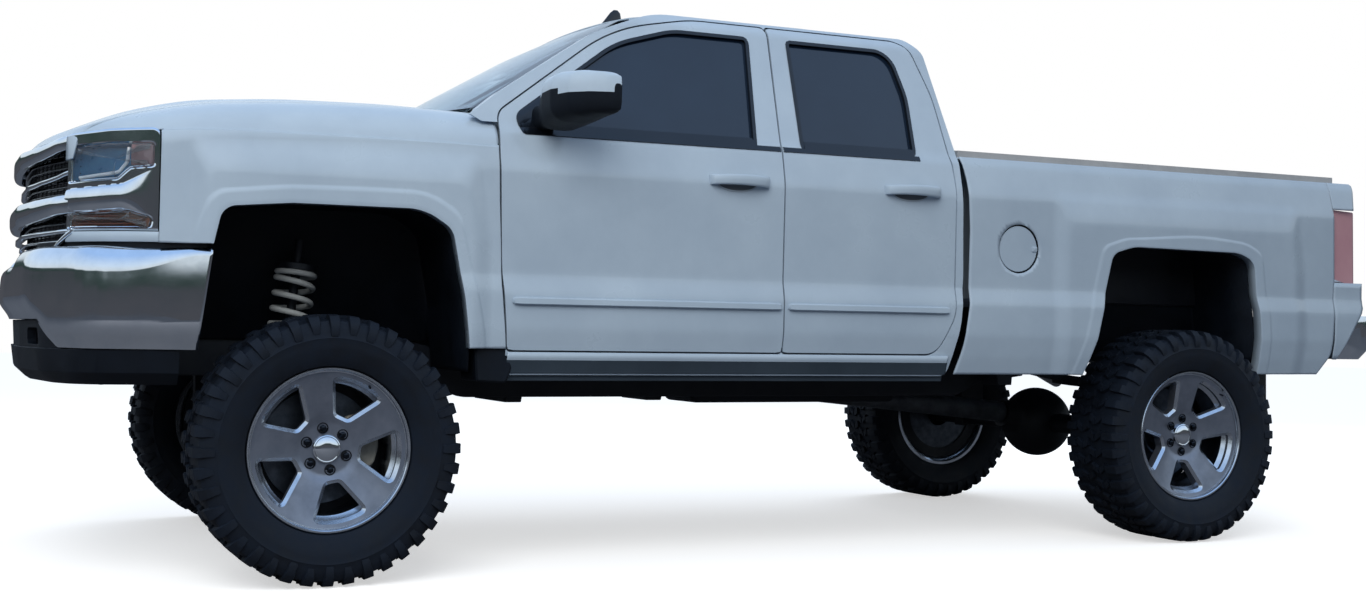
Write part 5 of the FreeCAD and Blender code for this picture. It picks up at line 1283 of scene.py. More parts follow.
@dataclass
class Headlamp:
    """A headlamp: bright housing pressed round two lenses, with light guide, marker and turn lamp."""

    outline: tuple[Corner, ...] = (
        (-0.816, 1.1435), (-0.816, 1.458), (-0.700, 1.470), (-0.554, 1.4745, 0.026), (-0.553, 1.1435, 0.004),
    )
    upper: tuple[Corner, ...] = (
        (-0.811, 1.300), (-0.811, 1.416, 0.004), (-0.700, 1.423), (-0.573, 1.4255, 0.010),
        (-0.573, 1.350, 0.008), (-0.640, 1.344, 0.012), (-0.676, 1.308, 0.015),
    )
    lower: tuple[Corner, ...] = (
        (-0.811, 1.153), (-0.811, 1.199, 0.006), (-0.640, 1.206, 0.01), (-0.572, 1.186, 0.016),
        (-0.580, 1.153, 0.012)
    )

    def build(self, side: Side) -> None:
        """Builds the lamp's pieces on one side."""
        upper, lower = wall_loop(self.upper), wall_loop(self.lower)
        self._housing(side, upper, lower)
        self._lens(f"upper_lens_{side.word}", side, upper, -0.0035, CLEAR_LENS)
        self._lens(f"lower_lens_{side.word}", side, lower, -0.0040, CLEAR_LENS)
        self._bowls(side, upper, lower)

    def _housing(self, side: Side, upper: Array, lower: Array) -> None:
        """Bright housing: a sheet that bulges along the bar and drops by steps at the lenses' edges."""
        fore, aft, foot, corner_radius = -0.816, -0.553, 1.1435, 0.026
        v = np.linspace(0, 1, 150)
        x = np.linspace(fore, aft, 150)
        y = plan_y(x)
        top = np.interp(x, [-0.816, -0.700, -0.554], [1.458, 1.470, 1.4745])
        corner = np.maximum(corner_radius - (aft - x), 0)
        top = top - (corner_radius - np.sqrt(np.maximum(corner_radius**2 - corner**2, 0)))
        gy = np.broadcast_to(y[:, None], (150, 150))
        gz = foot + (top[:, None] - foot) * v
        flat = np.stack([gy.ravel(), gz.ravel()], axis=-1)
        sink = np.maximum(loop_distance(flat, upper), loop_distance(flat, lower)).reshape(gy.shape)
        share = (x[:, None] - fore) / 0.263
        middle = 1.240 + 0.020 * share + 0.040 * np.maximum(share - 0.62, 0) ** 1.5
        high = 0.036 + 0.006 * share + 0.10 * np.maximum(share - 0.6, 0)
        bulge = (
            0.011 * np.sqrt(np.clip(1 - ((gz - middle) / high) ** 2, 0, 1))
            * (1 - smooth_step((share - 0.55) / 0.4))
        )
        out = bulge - 0.010 * smooth_step((sink + 0.0035) / 0.006)
        out -= 0.006 * smooth_step((0.006 - np.minimum(gz - foot, top[:, None] - gz)) / 0.006)
        face = nose_wall(gy, gz, out)
        rim = nose_wall(gy, gz, out - 0.03)
        piece = Piece(
            f"lamp_housing_{side.word}", "chassis", CHROME, ("headlamps",) if side is Side.RIGHT else (),
            sharp=50.0
        )
        hole = (sink > 0.0035).reshape(-1)
        quads = grid_cells(150, 150)
        keep = ~hole[quads].all(axis=1)
        piece.faces(mirror(face.reshape(-1, 3), side), quads[keep][:, :: side.value])
        for a, b in (
            (face[0], rim[0]), (rim[-1], face[-1]), (rim[:, 0], face[:, 0]), (face[:, -1], rim[:, -1])
        ):
            piece.grid(mirror(np.stack([a, b]), side), flip=side is Side.LEFT)
        piece.build(outward=False)

    def _lens(self, name: str, side: Side, loop: Array, out: float, finish: Finish) -> None:
        """A clear cover over one opening, with its edge let into the housing."""
        piece = Piece(name, "chassis", finish)
        steps = ((-0.0005, -0.004), (0.001, 0.0), (0.004, 0.0), (0.012, 0.0005), (0.020, 0.0008))
        rings = list(wall_rings(loop, [(by, out + depth) for by, depth in steps]))
        centre = loop.mean(axis=0)
        base = inset(loop, 0.020)
        for t in (0.5, 0.8, 0.97):
            ring = base * (1 - t) + centre * t
            rings.append(nose_wall(ring[:, 0], ring[:, 1], out + 0.001))
        piece.loft(mirror(np.stack(rings), side), (-1,))
        piece.build()

    def _bowls(self, side: Side, upper: Array, lower: Array) -> None:
        """What shows through the lenses: bowls, light guide, marker and turn reflector."""
        # Painted reflection: the upper bowl's blue stands for the sky seen in the bright reflector
        bowl = Piece(f"lamp_bowls_{side.word}", "chassis", LAMP_BOWL_REFLECTION, sharp=30.0)
        for loop, deep, finish in ((upper, 0.045, None), (lower, 0.016, AMBER_LENS)):
            rings = wall_rings(loop, ((0.0, -0.010), (0.004, -deep * 0.6), (0.012, -deep), (0.022, -deep)))
            bowl.loft(mirror(rings, side), (-1,), finish)
        marker = wall_loop(
            ((-0.640, 1.352, 0.004), (-0.641, 1.420, 0.004), (-0.577, 1.421, 0.008), (-0.577, 1.354, 0.006))
        )
        rings = wall_rings(marker, ((0.0, -0.030), (0.0, -0.009), (0.002, -0.0075), (0.02, -0.007)))
        bowl.loft(mirror(rings, side), (-1,), MARKER_LENS)
        path = rounded(
            [(-0.790, 1.314), (-0.676, 1.330, 0.02), (-0.652, 1.362, 0.02), (-0.648, 1.410)], closed=False,
            step=0.004
        )
        line = nose_wall(plan_y(path[:, 0]), path[:, 1], -0.012)
        bowl.tube(mirror(line, side), 0.0058, 12, finish=LIGHT_GUIDE)
        for z0 in (1.165, 1.178, 1.190):
            u = np.linspace(-0.790, -0.596, 30)
            bowl.tube(mirror(nose_wall(plan_y(u), z0, -0.011), side), 0.0018, 8, finish=AMBER_LENS)
        bowl.build()


@dataclass
class FrontEnd:
    """Lamps, grille bars and mesh, bumper and the strips between them."""

    half: float = 0.7635

    def build(self) -> None:
        """Builds the front end."""
        for side in Side:
            Headlamp().build(side)
            self._strips(side)
        self._grille()
        self._bumper()

    def _strips(self, side: Side) -> None:
        """Painted strip under the lamp, and the dark filler down to the bumper."""
        foot = Piece(f"lamp_foot_{side.word}", "chassis", PAINT)
        u = plan_y(np.linspace(-0.818, -0.5505, 50))
        rows = [
            (1.1075, -0.014), (1.1080, -0.001), (1.1095, 0.0), (1.1390, 0.0), (1.1405, -0.001), (1.1410, -0.014)
        ]
        foot.grid(mirror(np.stack([nose_wall(u, z, o) for z, o in rows]), side), wrap_u=True)
        foot.build()
        filler = Piece(f"bumper_filler_{side.word}", "chassis", SEAL_RUBBER_AND_HOLE_SHADE)
        u = plan_y(np.linspace(-0.905, -0.405, 80))
        rows = [(1.060, -0.030), (1.060, -0.012), (1.1085, -0.012), (1.1085, -0.030)]
        filler.grid(mirror(np.stack([nose_wall(u, z, o) for z, o in rows]), side), wrap_u=True)
        filler.build()

    def _bar(
        self, piece: Piece, reach: float, mid: Callable, tall: Callable, bulge: float, base: float,
        sides: int = 18, finish: Finish | None = None, end: float = 0.5
    ) -> None:
        """A bar across the nose: half an ellipse carried along the plan curve, closed behind.

        Args:
            piece: The piece that gets it.
            reach: Half its length along y.
            mid: Height of its middle over the half-width.
            tall: Its height over the half-width.
            bulge: How far it stands out.
            base: Where its back lies, outside the wall.
            sides: Points round the half ellipse.
            finish: Its finish, if not the piece's own.
            end: Share of the bulge that is left at its ends.
        """
        y = np.linspace(-reach, reach, 140)[:, None]
        bulge = bulge * (1 - (1 - end) * smooth_step((np.abs(y) - reach + 0.07) / 0.07))
        turn = np.linspace(0, math.pi, sides)
        out = base + bulge * np.sin(turn) ** 0.8
        z = mid(np.abs(y)) - tall(np.abs(y)) / 2 * np.cos(turn)
        front = nose_wall(y + 0 * z, z, out + 0 * z)
        back = nose_wall(y + 0 * z[:, [-1, 0]], z[:, [-1, 0]], base - 0.012)
        piece.loft(np.concatenate([front, back], axis=1), finish=finish)

    def _grille(self) -> None:
        """Bright bars over a dark mesh, with a black plate behind the mesh as painted shade, and the slanting
        frame of the lower grille.
        """
        piece = Piece("grille_bars", "chassis", CHROME, ("grille",), sharp=60.0)
        level = lambda values: lambda y: np.interp(y, [0.0, 0.4, 0.55, 0.6405, 0.7635], values)
        self._bar(
            piece, self.half, level([1.408, 1.404, 1.409, 1.418, 1.4330]),
            level([0.060, 0.056, 0.050, 0.048, 0.044]), 0.016, -0.004, 26, end=0.15
        )
        self._bar(
            piece, self.half - 0.006, level([1.312, 1.312, 1.318, 1.325, 1.342]),
            level([0.018, 0.018, 0.017, 0.017, 0.016]), 0.010, -0.026
        )
        self._bar(
            piece, self.half, level([1.214, 1.214, 1.219, 1.224, 1.2305]),
            level([0.078, 0.077, 0.074, 0.070, 0.062]), 0.026, -0.004, 34, end=0.6
        )
        self._bar(
            piece, self.half - 0.004, level([1.140, 1.140, 1.140, 1.141, 1.143]), level([0.016] * 5), 0.010,
            -0.010
        )
        self._bar(piece, 0.585, level([1.032, 1.032, 1.036, 1.036, 1.036]), level([0.020] * 5), 0.012, -0.010)
        for z in (1.112, 1.090, 1.068):
            reach = float(np.interp(z, [1.03, 1.14], [0.600, 0.745]))
            self._bar(piece, reach, level([z] * 5), level([0.008] * 5), 0.006, -0.020, 10)
        for side in Side:
            path = np.stack([np.linspace(0.770, 0.592, 30), np.linspace(1.141, 1.030, 30)], axis=-1)
            piece.tube(mirror(nose_wall(path[:, 0], path[:, 1], -0.003), side), 0.009, 14)
        for z in (1.376, 1.352, 1.290, 1.268, 1.170):
            self._bar(
                piece, self.half - 0.012, level([z] * 5), level([0.005] * 5), 0.004, -0.034, 8, GLOSS_BLACK
            )
        piece.build()
        mesh = Piece("grille_mesh", "chassis", GLOSS_BLACK, weld=0.0)
        y = np.linspace(-0.770, 0.770, 160)
        # Painted shade: a gloss black plate close behind the mesh stands for the shade inside the grille
        rows = [(1.026, -0.075), (1.026, -0.050), (1.440, -0.050), (1.440, -0.075)]
        mesh.grid(np.stack([nose_wall(y, z, o) for z, o in rows]), wrap_u=True)
        for z in np.arange(1.046, 1.430, 0.022):
            line = nose_wall(y, z, -0.046)
            mesh.tube(line, 0.0022, 6)
        for k in np.arange(-0.742, 0.743, 0.053):
            z = np.linspace(1.036, 1.436, 12)
            mesh.tube(nose_wall(k, z, -0.044), 0.0022, 6)
        mesh.build()

    BUMPER_PLAN = (
        (-0.990, 0), (-0.985, 0.330, 0.4), (-0.930, 0.700, 0.3), (-0.770, 0.930, 0.16), (-0.380, 0.988)
    )

    def _bumper(self) -> None:
        """Bright bumper: a flat face under a creased shoulder, cut up in the middle, with its inner face."""
        half = rounded(self.BUMPER_PLAN, closed=False, step=0.01)
        half = along(half, np.linspace(0, 1, 150))
        line = np.concatenate([half[:0:-1] * [1, -1], half])
        run = np.gradient(line, axis=0)
        run /= np.linalg.norm(run, axis=1)[:, None]
        normal = np.stack([-run[:, 1], run[:, 0]], axis=-1)
        wide = np.abs(line[:, 1])
        tail = smooth_step((line[:, 0] + 0.72) / 0.32)
        low = np.interp(wide, [0.0, 0.690, 0.800, 0.99], [0.862, 0.862, 0.772, 0.770])
        top = np.interp(wide, [0.0, 0.430, 0.475, 0.99], [1.032, 1.032, 1.088, 1.090])
        crease = np.minimum(0.996 + 0.012 * smooth_step((wide - 0.3) / 0.5) + 0.058 * tail**1.6, top - 0.012)
        edge_x = line[:, 0]
        face_z = np.linspace(0, 1, 14)[None]
        z_face = low[:, None] + (crease - low)[:, None] * face_z
        tuck = 1 - smooth_step((z_face - low[:, None] + 0.004) / 0.075)
        in_face = 0.034 * tuck - 0.004 * np.sin(math.pi * face_z)
        cap = np.linspace(0, 1, 12)[None, 1:]
        z_cap = crease[:, None] + (top - crease)[:, None] * np.sin(cap * math.pi / 2)
        in_cap = 0.058 * (1 - np.cos(cap * math.pi / 2)) * np.clip((top - crease) / 0.09, 0.1, 1)[:, None]
        z = np.concatenate([low[:, None] + 0.004, z_face, z_cap, top[:, None] - 0.006], axis=1)
        deep = np.concatenate([np.full((len(line), 1), 0.058), in_face, in_cap, in_cap[:, -1:] + 0.012], axis=1)
        sheet = xyz(edge_x[:, None] - normal[:, :1] * deep, line[:, 1:] - normal[:, 1:] * deep, z)
        lean = (np.clip(z, 0.77, 1.09) - 0.77) / 0.32 * 0.042 - 0.046
        near_tail = smooth_step((sheet[..., 0] + 0.60) / 0.20)
        sheet[..., 0] += near_tail * lean
        piece = Piece("bumper_face", "chassis", CHROME, ("front_bumper",), sharp=24.0)
        piece.grid(sheet)
        piece.build(thickness=0.004, outward=False)


@dataclass
class Mirror:
    """Door mirror: painted cap over a dark shell that sweeps down into its arm, glass behind, sail panel."""

    # half-width, then middle station and height, then half sizes along x and z, of the sections along the arm
    sections: tuple[tuple[float, ...], ...] = (
        (0.945, 0.742, 1.590, 0.040, 0.046),
        (0.990, 0.748, 1.592, 0.038, 0.042),
        (1.030, 0.757, 1.598, 0.052, 0.050),
        (1.050, 0.770, 1.618, 0.078, 0.080),
        (1.085, 0.780, 1.636, 0.094, 0.090),
        (1.150, 0.790, 1.642, 0.098, 0.088),
        (1.210, 0.820, 1.648, 0.086, 0.080),
        (1.250, 0.858, 1.650, 0.062, 0.071),
        (1.268, 0.884, 1.650, 0.036, 0.058),
        (1.274, 0.890, 1.650, 0.014, 0.030),
    )
    cap_edge: float = 1.645
    cap_start: float = 1.048

    def _face(self, y: Array) -> Array:
        """Station of the mirror glass's plane at a half-width."""
        return 0.868 + 0.30 * (y - 1.15)

    def build(self, side: Side) -> None:
        """Builds the mirror on one side."""
        body = f"door_front_{side.word}"
        shell = Piece(f"mirror_shell_{side.word}", body, BLACK_PLASTIC, (f"mirror_{side.word}",), sharp=40.0)
        table = np.array(self.sections)
        y = np.concatenate(
            [np.linspace(0.945, 1.030, 10), np.linspace(1.036, 1.262, 48), np.linspace(1.265, 1.274, 6)]
        )
        cx, cz, hx, hz = (np.interp(y, table[:, 0], table[:, k])[:, None] for k in range(1, 5))
        turn = full_turn(64)
        c, q = np.cos(turn), np.sin(turn)
        x = cx + hx * np.sign(c) * np.abs(c) ** 0.62
        z = cz + hz * np.sign(q) * np.abs(q) ** 0.62
        wide = y[:, None] + 0 * x
        x = np.minimum(x, self._face(wide))
        skin = xyz(x, wide, z)
        cells = grid_cells(len(y), 65)
        wrapped = np.concatenate([skin, skin[:, :1]], axis=1).reshape(-1, 3)
        capped = (
            (wrapped[:, 2] > self.cap_edge) & (wrapped[:, 1] > self.cap_start)
            & (wrapped[:, 0] < self._face(wrapped[:, 1]) - 1e-4)
        )[cells].sum(axis=1) >= 3
        points = mirror(wrapped, side)
        shell.faces(points, cells[~capped])
        shell.faces(points, cells[capped], PAINT)
        shell.fan(mirror(skin[0], side))
        shell.fan(mirror(skin[-1], side))
        shell.build()
        glass = Piece(f"mirror_glass_{side.word}", body, MIRROR_GLASS)
        loop = rounded(
            [(1.072, 1.572, 0.02), (1.068, 1.700, 0.02), (1.225, 1.705, 0.03), (1.240, 1.595, 0.02)], step=0.006
        )
        rows = [
            xyz(self._face(inset(loop, i)[:, 0]) + up, inset(loop, i)[:, 0], inset(loop, i)[:, 1])
            for i, up in ((0.0, -0.001), (0.0, 0.0015), (0.002, 0.0022))
        ]
        glass.loft(mirror(rows, side))
        glass.build()
        sail = Piece(f"mirror_sail_{side.word}", body, GLOSS_BLACK)
        edge = rounded(
            [
                (0.648, 1.552, 0.01), (0.640, 1.600, 0.03), (0.815, 1.722, 0.02), (0.835, 1.700, 0.02),
                (0.835, 1.552, 0.01)
            ],
            step=0.01
        )
        rows = side_rings(edge, ((0.0, -0.010), (0.0, 0.0035), (0.002, 0.0055), (0.02, 0.0058)))
        sail.loft(mirror(rows, side), (-1, 0))
        sail.build()


@dataclass
class Cab:
    """Cab shell: sides, roof, back, glass, cowl and the inside."""

    screen_radius: float = 4.87
    antenna_top: float = 2.222

    def build(self) -> None:
        """Builds and dresses the cab."""
        dressed_copy("cab_sides", "chassis", PAINT, bevel=0.002)
        dressed_copy("cab_back", "chassis", PAINT, bevel=0.003)
        self._roof()
        self._antenna()
        for node, finish in (("windshield", CLEAR_GLASS), ("rear_window", DARK_GLASS)):
            dressed_copy(node, "chassis", finish, bevel=0.0)
        for door in DOORS:
            for side in Side:
                dressed_copy(
                    f"glass_{door.end}_{side.word}", f"door_{door.end}_{side.word}", DARK_GLASS, bevel=0.0
                )
                door.build(side)
        dressed_copy("cab_floor", "chassis", CARPET, bevel=0.004)
        dressed_copy("dashboard", "chassis", TRIM, bevel=0.006)
        dressed_copy("steering_wheel", "chassis", TRIM, bevel=0.0)
        dressed_copy("seats", "chassis", SEAT_CLOTH, bevel=0.012)
        dressed_copy("cowl", "chassis", BLACK_PLASTIC, bevel=0.003)

    def _roof(self) -> None:
        """Roof skin: arched both ways, with its edges turned down to the door tops."""
        u = np.concatenate([[0.0], np.linspace(0.003, 0.997, 80), [1.0]])
        y = np.linspace(-LINES.ROOF_HALF, LINES.ROOF_HALF, 81)
        start = 1.100 + y**2 / (2 * self.screen_radius)
        gx = start + (2.404 - start) * u[:, None]
        gy = np.broadcast_to(y, gx.shape)
        top = xyz(gx, gy, LINES.roof(gx, gy))
        low = top[:, [0, -1]].copy()
        low[..., 2] -= 0.030
        sheet = np.concatenate([low[:, :1], top, low[:, 1:]], axis=1)
        tail = sheet[-1:].copy()
        tail[..., 2] -= 0.040
        piece = Piece("roof_skin", "chassis", PAINT, ("roof_panel",))
        piece.grid(np.concatenate([sheet, tail]))
        piece.build(thickness=0.008, outward=False)

    def _antenna(self) -> None:
        """Swept antenna fin: ellipses that shrink and lean back as they rise from the roof."""
        rise = np.array([0.0, 0.06, 0.2, 0.4, 0.6, 0.78, 0.9, 0.97, 1.0])[:, None]
        spin = full_turn(40)
        fore = np.interp(rise, [0.0, 0.06, 0.5, 0.9, 1.0], [1.282, 1.292, 1.350, 1.390, 1.406])
        aft = np.interp(rise, [0.0, 0.06, 0.5, 0.9, 1.0], [1.456, 1.450, 1.446, 1.436, 1.424])
        wide = np.interp(rise, [0.0, 0.06, 0.3, 0.9, 1.0], [0.030, 0.026, 0.013, 0.006, 0.002])
        x = (fore + aft) / 2 + (aft - fore) / 2 * np.cos(spin)
        y = wide * np.sin(spin)
        z = (LINES.roof(x, y) - 0.003) * (1 - rise) + self.antenna_top * rise
        piece = Piece("antenna_fin", "chassis", GLOSS_BLACK, ("antenna",), sharp=50.0)
        piece.loft(xyz(x, y, z))
        piece.build()


@dataclass
class Bed:
    """Load bed: sides with their flared arches, tub, gate, lamps and cover."""

    # height of the rail, station of the bedside's rear seam, then middle and radius of the fuel door's hole
    rail: float = 1.556
    rear: float = 4.470
    fuel: tuple[float, float] = (2.760, 1.200)
    fuel_reach: float = 0.098

    def _width(self, x: Array, z: Array) -> Array:
        """Half-width of the bedside: the body's section with the flared area round the arch."""
        return LINES.side(np.minimum(z, 1.553)) + LINES.blister(x, z, 2.925, 4.318, 1.450, 0.150)

    def side(self, side: Side) -> None:
        """One bedside."""
        front = [
            (2.470, 0.699, 0.02), (2.496, 0.800, 0.2), (2.522, 0.975, 0.3), (2.524, 1.267, 0.6),
            (2.512, 1.465, 0.3), (2.494, self.rail)
        ]
        outer_line = rounded(
            front + [(self.rear, self.rail), (self.rear + 0.012, 1.120), (4.462, 0.790, 0.05), (4.400, 0.704)],
            closed=False
        )
        arch = rounded(
            [
                (3.082, 0.699), (3.130, 0.840, 0.2), (3.215, 1.200, 0.06), (3.330, 1.232, 0.2),
                (3.900, 1.226, 0.2), (3.990, 1.190, 0.07), (4.022, 0.900, 0.3), (4.030, 0.704)
            ],
            closed=False
        )
        keys_out = ((2.470, 0.699), (2.494, self.rail), (self.rear, self.rail), (4.400, 0.704))
        keys_in = ((3.082, 0.699), (3.212, 1.196), (3.992, 1.188), (4.030, 0.704))
        counts = (80, 170, 80)
        outer = keyed_loop(outer_line, keys_out, counts, closed=False)
        inner = keyed_loop(arch, keys_in, counts, closed=False)
        band = between(inner, outer, np.linspace(0, 1, 70) ** 1.4)
        nodes = ("bedsides",) if side is Side.RIGHT else ()
        piece = Piece(f"bedside_{side.word}", "chassis", PAINT, nodes)

        def skin(points: Array) -> Array:
            """Points of the side view laid on the bedside."""
            lip = arch_lip(points, inner) if points.shape == band.shape else 0.0
            return mirror(
                xyz(points[..., 0], self._width(points[..., 0], points[..., 1]) + lip, points[..., 1]), side
            )

        flipped = side is Side.RIGHT
        if side is Side.LEFT:
            self._fuel_hole(piece, band, skin)
        else:
            piece.grid(skin(band), flip=flipped)
        v, w = np.linspace(0, 1, 16), np.linspace(0, 1, 12)
        v = v[:, None]
        upper = [self.rear + (0.150 - 0.020 * v) * w, self.rail - (self.rail - 1.435) * v + 0 * w]
        cut_back = 0.150 * np.clip((v - 0.35) / 0.65, 0, 1)
        lower = [4.478 + (0.172 - cut_back) * w, 1.110 - 0.340 * v + 0 * w]
        for corner in (upper, lower):
            piece.grid(skin(np.stack(corner, axis=-1)), flip=not flipped)
        top_x = np.linspace(2.494, 4.620, 60)
        face = xyz(top_x, self._width(top_x, np.full(60, self.rail)), self.rail)
        inside = face.copy()
        inside[:, 1] = 0.842
        fall = inside - np.array([0.0, 0.0, 0.03])
        piece.grid(mirror(np.stack([face, inside, fall]), side), flip=not flipped)
        edge = skin(band)[0]
        piece.grid(np.stack([edge - np.array([0, 0.036 * side.value, 0]), edge]), flip=flipped)
        piece.build(thickness=0.006, outward=False)

    def _fuel_hole(self, piece: Piece, band: Array, skin: Callable) -> None:
        """The left bedside's band with a round hole: points near its edge move onto it, faces inside it go."""
        away = band - np.array(self.fuel)
        gap = np.linalg.norm(away, axis=-1, keepdims=True)
        near = (gap > 0.089) & (gap < 0.107)
        band = np.where(near, np.array(self.fuel) + away / np.maximum(gap, 1e-9) * self.fuel_reach, band)
        nu, nv = band.shape[:2]
        quads = grid_cells(nu, nv)
        inside = np.linalg.norm(band - np.array(self.fuel), axis=-1).reshape(-1) < self.fuel_reach + 1e-6
        piece.faces(skin(band).reshape(-1, 3), quads[~inside[quads].all(axis=1)])
        ring = Piece("fuel_door_seal", "chassis", SEAL_RUBBER_AND_HOLE_SHADE)
        steps = ((0.0925, -0.030), (0.0950, -0.0015), (0.0965, 0.0012), (0.1005, 0.0012), (0.1015, -0.004))
        rows = self._fuel_rings(steps)
        cup = rows[0] - np.array([0.0, 0.012, 0.0])
        ring.grid(mirror(np.concatenate([cup[None], rows]), Side.LEFT), wrap_v=True)
        ring.fan(mirror(cup, Side.LEFT), finish=BLACK_PLASTIC)
        ring.build(outward=False)

    def _fuel_rings(self, steps: Sequence[tuple[float, float]]) -> Array:
        """Circles about the fuel door's middle on the bedside's skin, from (radius, lift) steps."""
        spin, rings = full_turn(96), []
        for reach, lift in steps:
            x, z = self.fuel[0] + reach * np.cos(spin), self.fuel[1] + reach * np.sin(spin)
            rings.append(xyz(x, self._width(x, z) + lift, z))
        return np.stack(rings)

    def _fuel_door(self) -> None:
        """The round fuel door, flush with the bedside, with the finger tab at its rear edge."""
        door = Piece("fuel_door_skin", "fuel_door", PAINT, ("fuel_door",), sharp=30.0)
        edge = ((0.0900, -0.006), (0.0915, -0.0045), (0.0915, -0.0006), (0.0905, 0.0006))
        rows = self._fuel_rings((*edge, (0.080, 0.0008), (0.05, 0.0008), (0.02, 0.0008)))
        door.loft(mirror(rows, Side.LEFT))
        door.build()
        tab = Piece("fuel_door_tab", "fuel_door", PAINT)
        loop = rounded(
            [(2.826, 1.190, 0.004), (2.826, 1.212, 0.004), (2.852, 1.212, 0.006), (2.852, 1.190, 0.006)],
            step=0.003
        )
        lifts = ((0.0, 0.0005), (0.0, 0.0032), (0.002, 0.0045))
        rows = [
            xyz(inset(loop, i)[:, 0], self._width(loop[:, 0], loop[:, 1]) + up, inset(loop, i)[:, 1])
            for i, up in lifts
        ]
        tab.loft(mirror(rows, Side.LEFT))
        tab.build()

    def _liners(self, side: Side) -> None:
        """Dark liner inside the rear arch, down to the frame, and the grey flap behind the wheel."""
        liner = Piece(f"rear_arch_liner_{side.word}", "chassis", BLACK_PLASTIC)
        arch = rounded(
            [
                (3.092, 0.760), (3.135, 0.860, 0.2), (3.222, 1.215, 0.06), (3.335, 1.247, 0.2),
                (3.895, 1.241, 0.2), (3.984, 1.205, 0.07), (4.015, 0.900, 0.3), (4.020, 0.760)
            ],
            closed=False
        )
        arch = along(arch, np.linspace(0, 1, 90))
        rows = [xyz(arch[:, 0], self._width(arch[:, 0], arch[:, 1]) - 0.036, arch[:, 1])]
        rows += [xyz(arch[:, 0], y, arch[:, 1]) for y in (0.80, 0.64)]
        foot = xyz(arch[:, 0], 0.638, 0.800)
        liner.grid(mirror(np.stack(rows + [foot]), side))
        liner.build(thickness=0.003, outward=False)
        edge = rounded(
            [(4.062, 0.700), (4.074, 0.772, 0.01), (4.180, 0.768, 0.02), (4.222, 0.704, 0.02)], step=0.006
        )
        steps = ((0.003, 0.900), (0.0, 0.904), (0.0, 0.9735), (0.004, 0.9775))
        plate("rear_splash_flap", FLAP_PLASTIC_AND_CUP_SHADE, edge, steps, side)

    def build(self) -> None:
        """Builds and dresses the bed."""
        for side in Side:
            self.side(side)
            self._liners(side)
        self._fuel_door()
        dressed_copy("bed_box", "chassis", INNER_PAINT, bevel=0.003)
        dressed_copy("tailgate", "tailgate", PAINT, bevel=0.006)
        dressed_copy("tonneau_cover", "chassis", COVER_VINYL, bevel=0.004)
        dressed_copy("tail_lamps", "chassis", RED_LENS, bevel=0.004)
        dressed_copy("rear_bumper", "chassis", CHROME, bevel=0.004)


# ------------------------------------------------------------------ wheels


def turned(points: Array, degrees: float) -> Array:
    """Points turned about the axle: x' = x cos t + z sin t, z' = z cos t - x sin t."""
    c, s = math.cos(math.radians(degrees)), math.sin(math.radians(degrees))
    out = np.array(points, dtype=float)
    out[..., 0], out[..., 2] = points[..., 0] * c + points[..., 2] * s, points[..., 2] * c - points[..., 0] * s
    return out


def on_circle(radius: float, angle: float) -> tuple[float, float]:
    """A point (x, z) of a circle about the axle, at an angle from the upright."""
    return radius * math.sin(angle), radius * math.cos(angle)


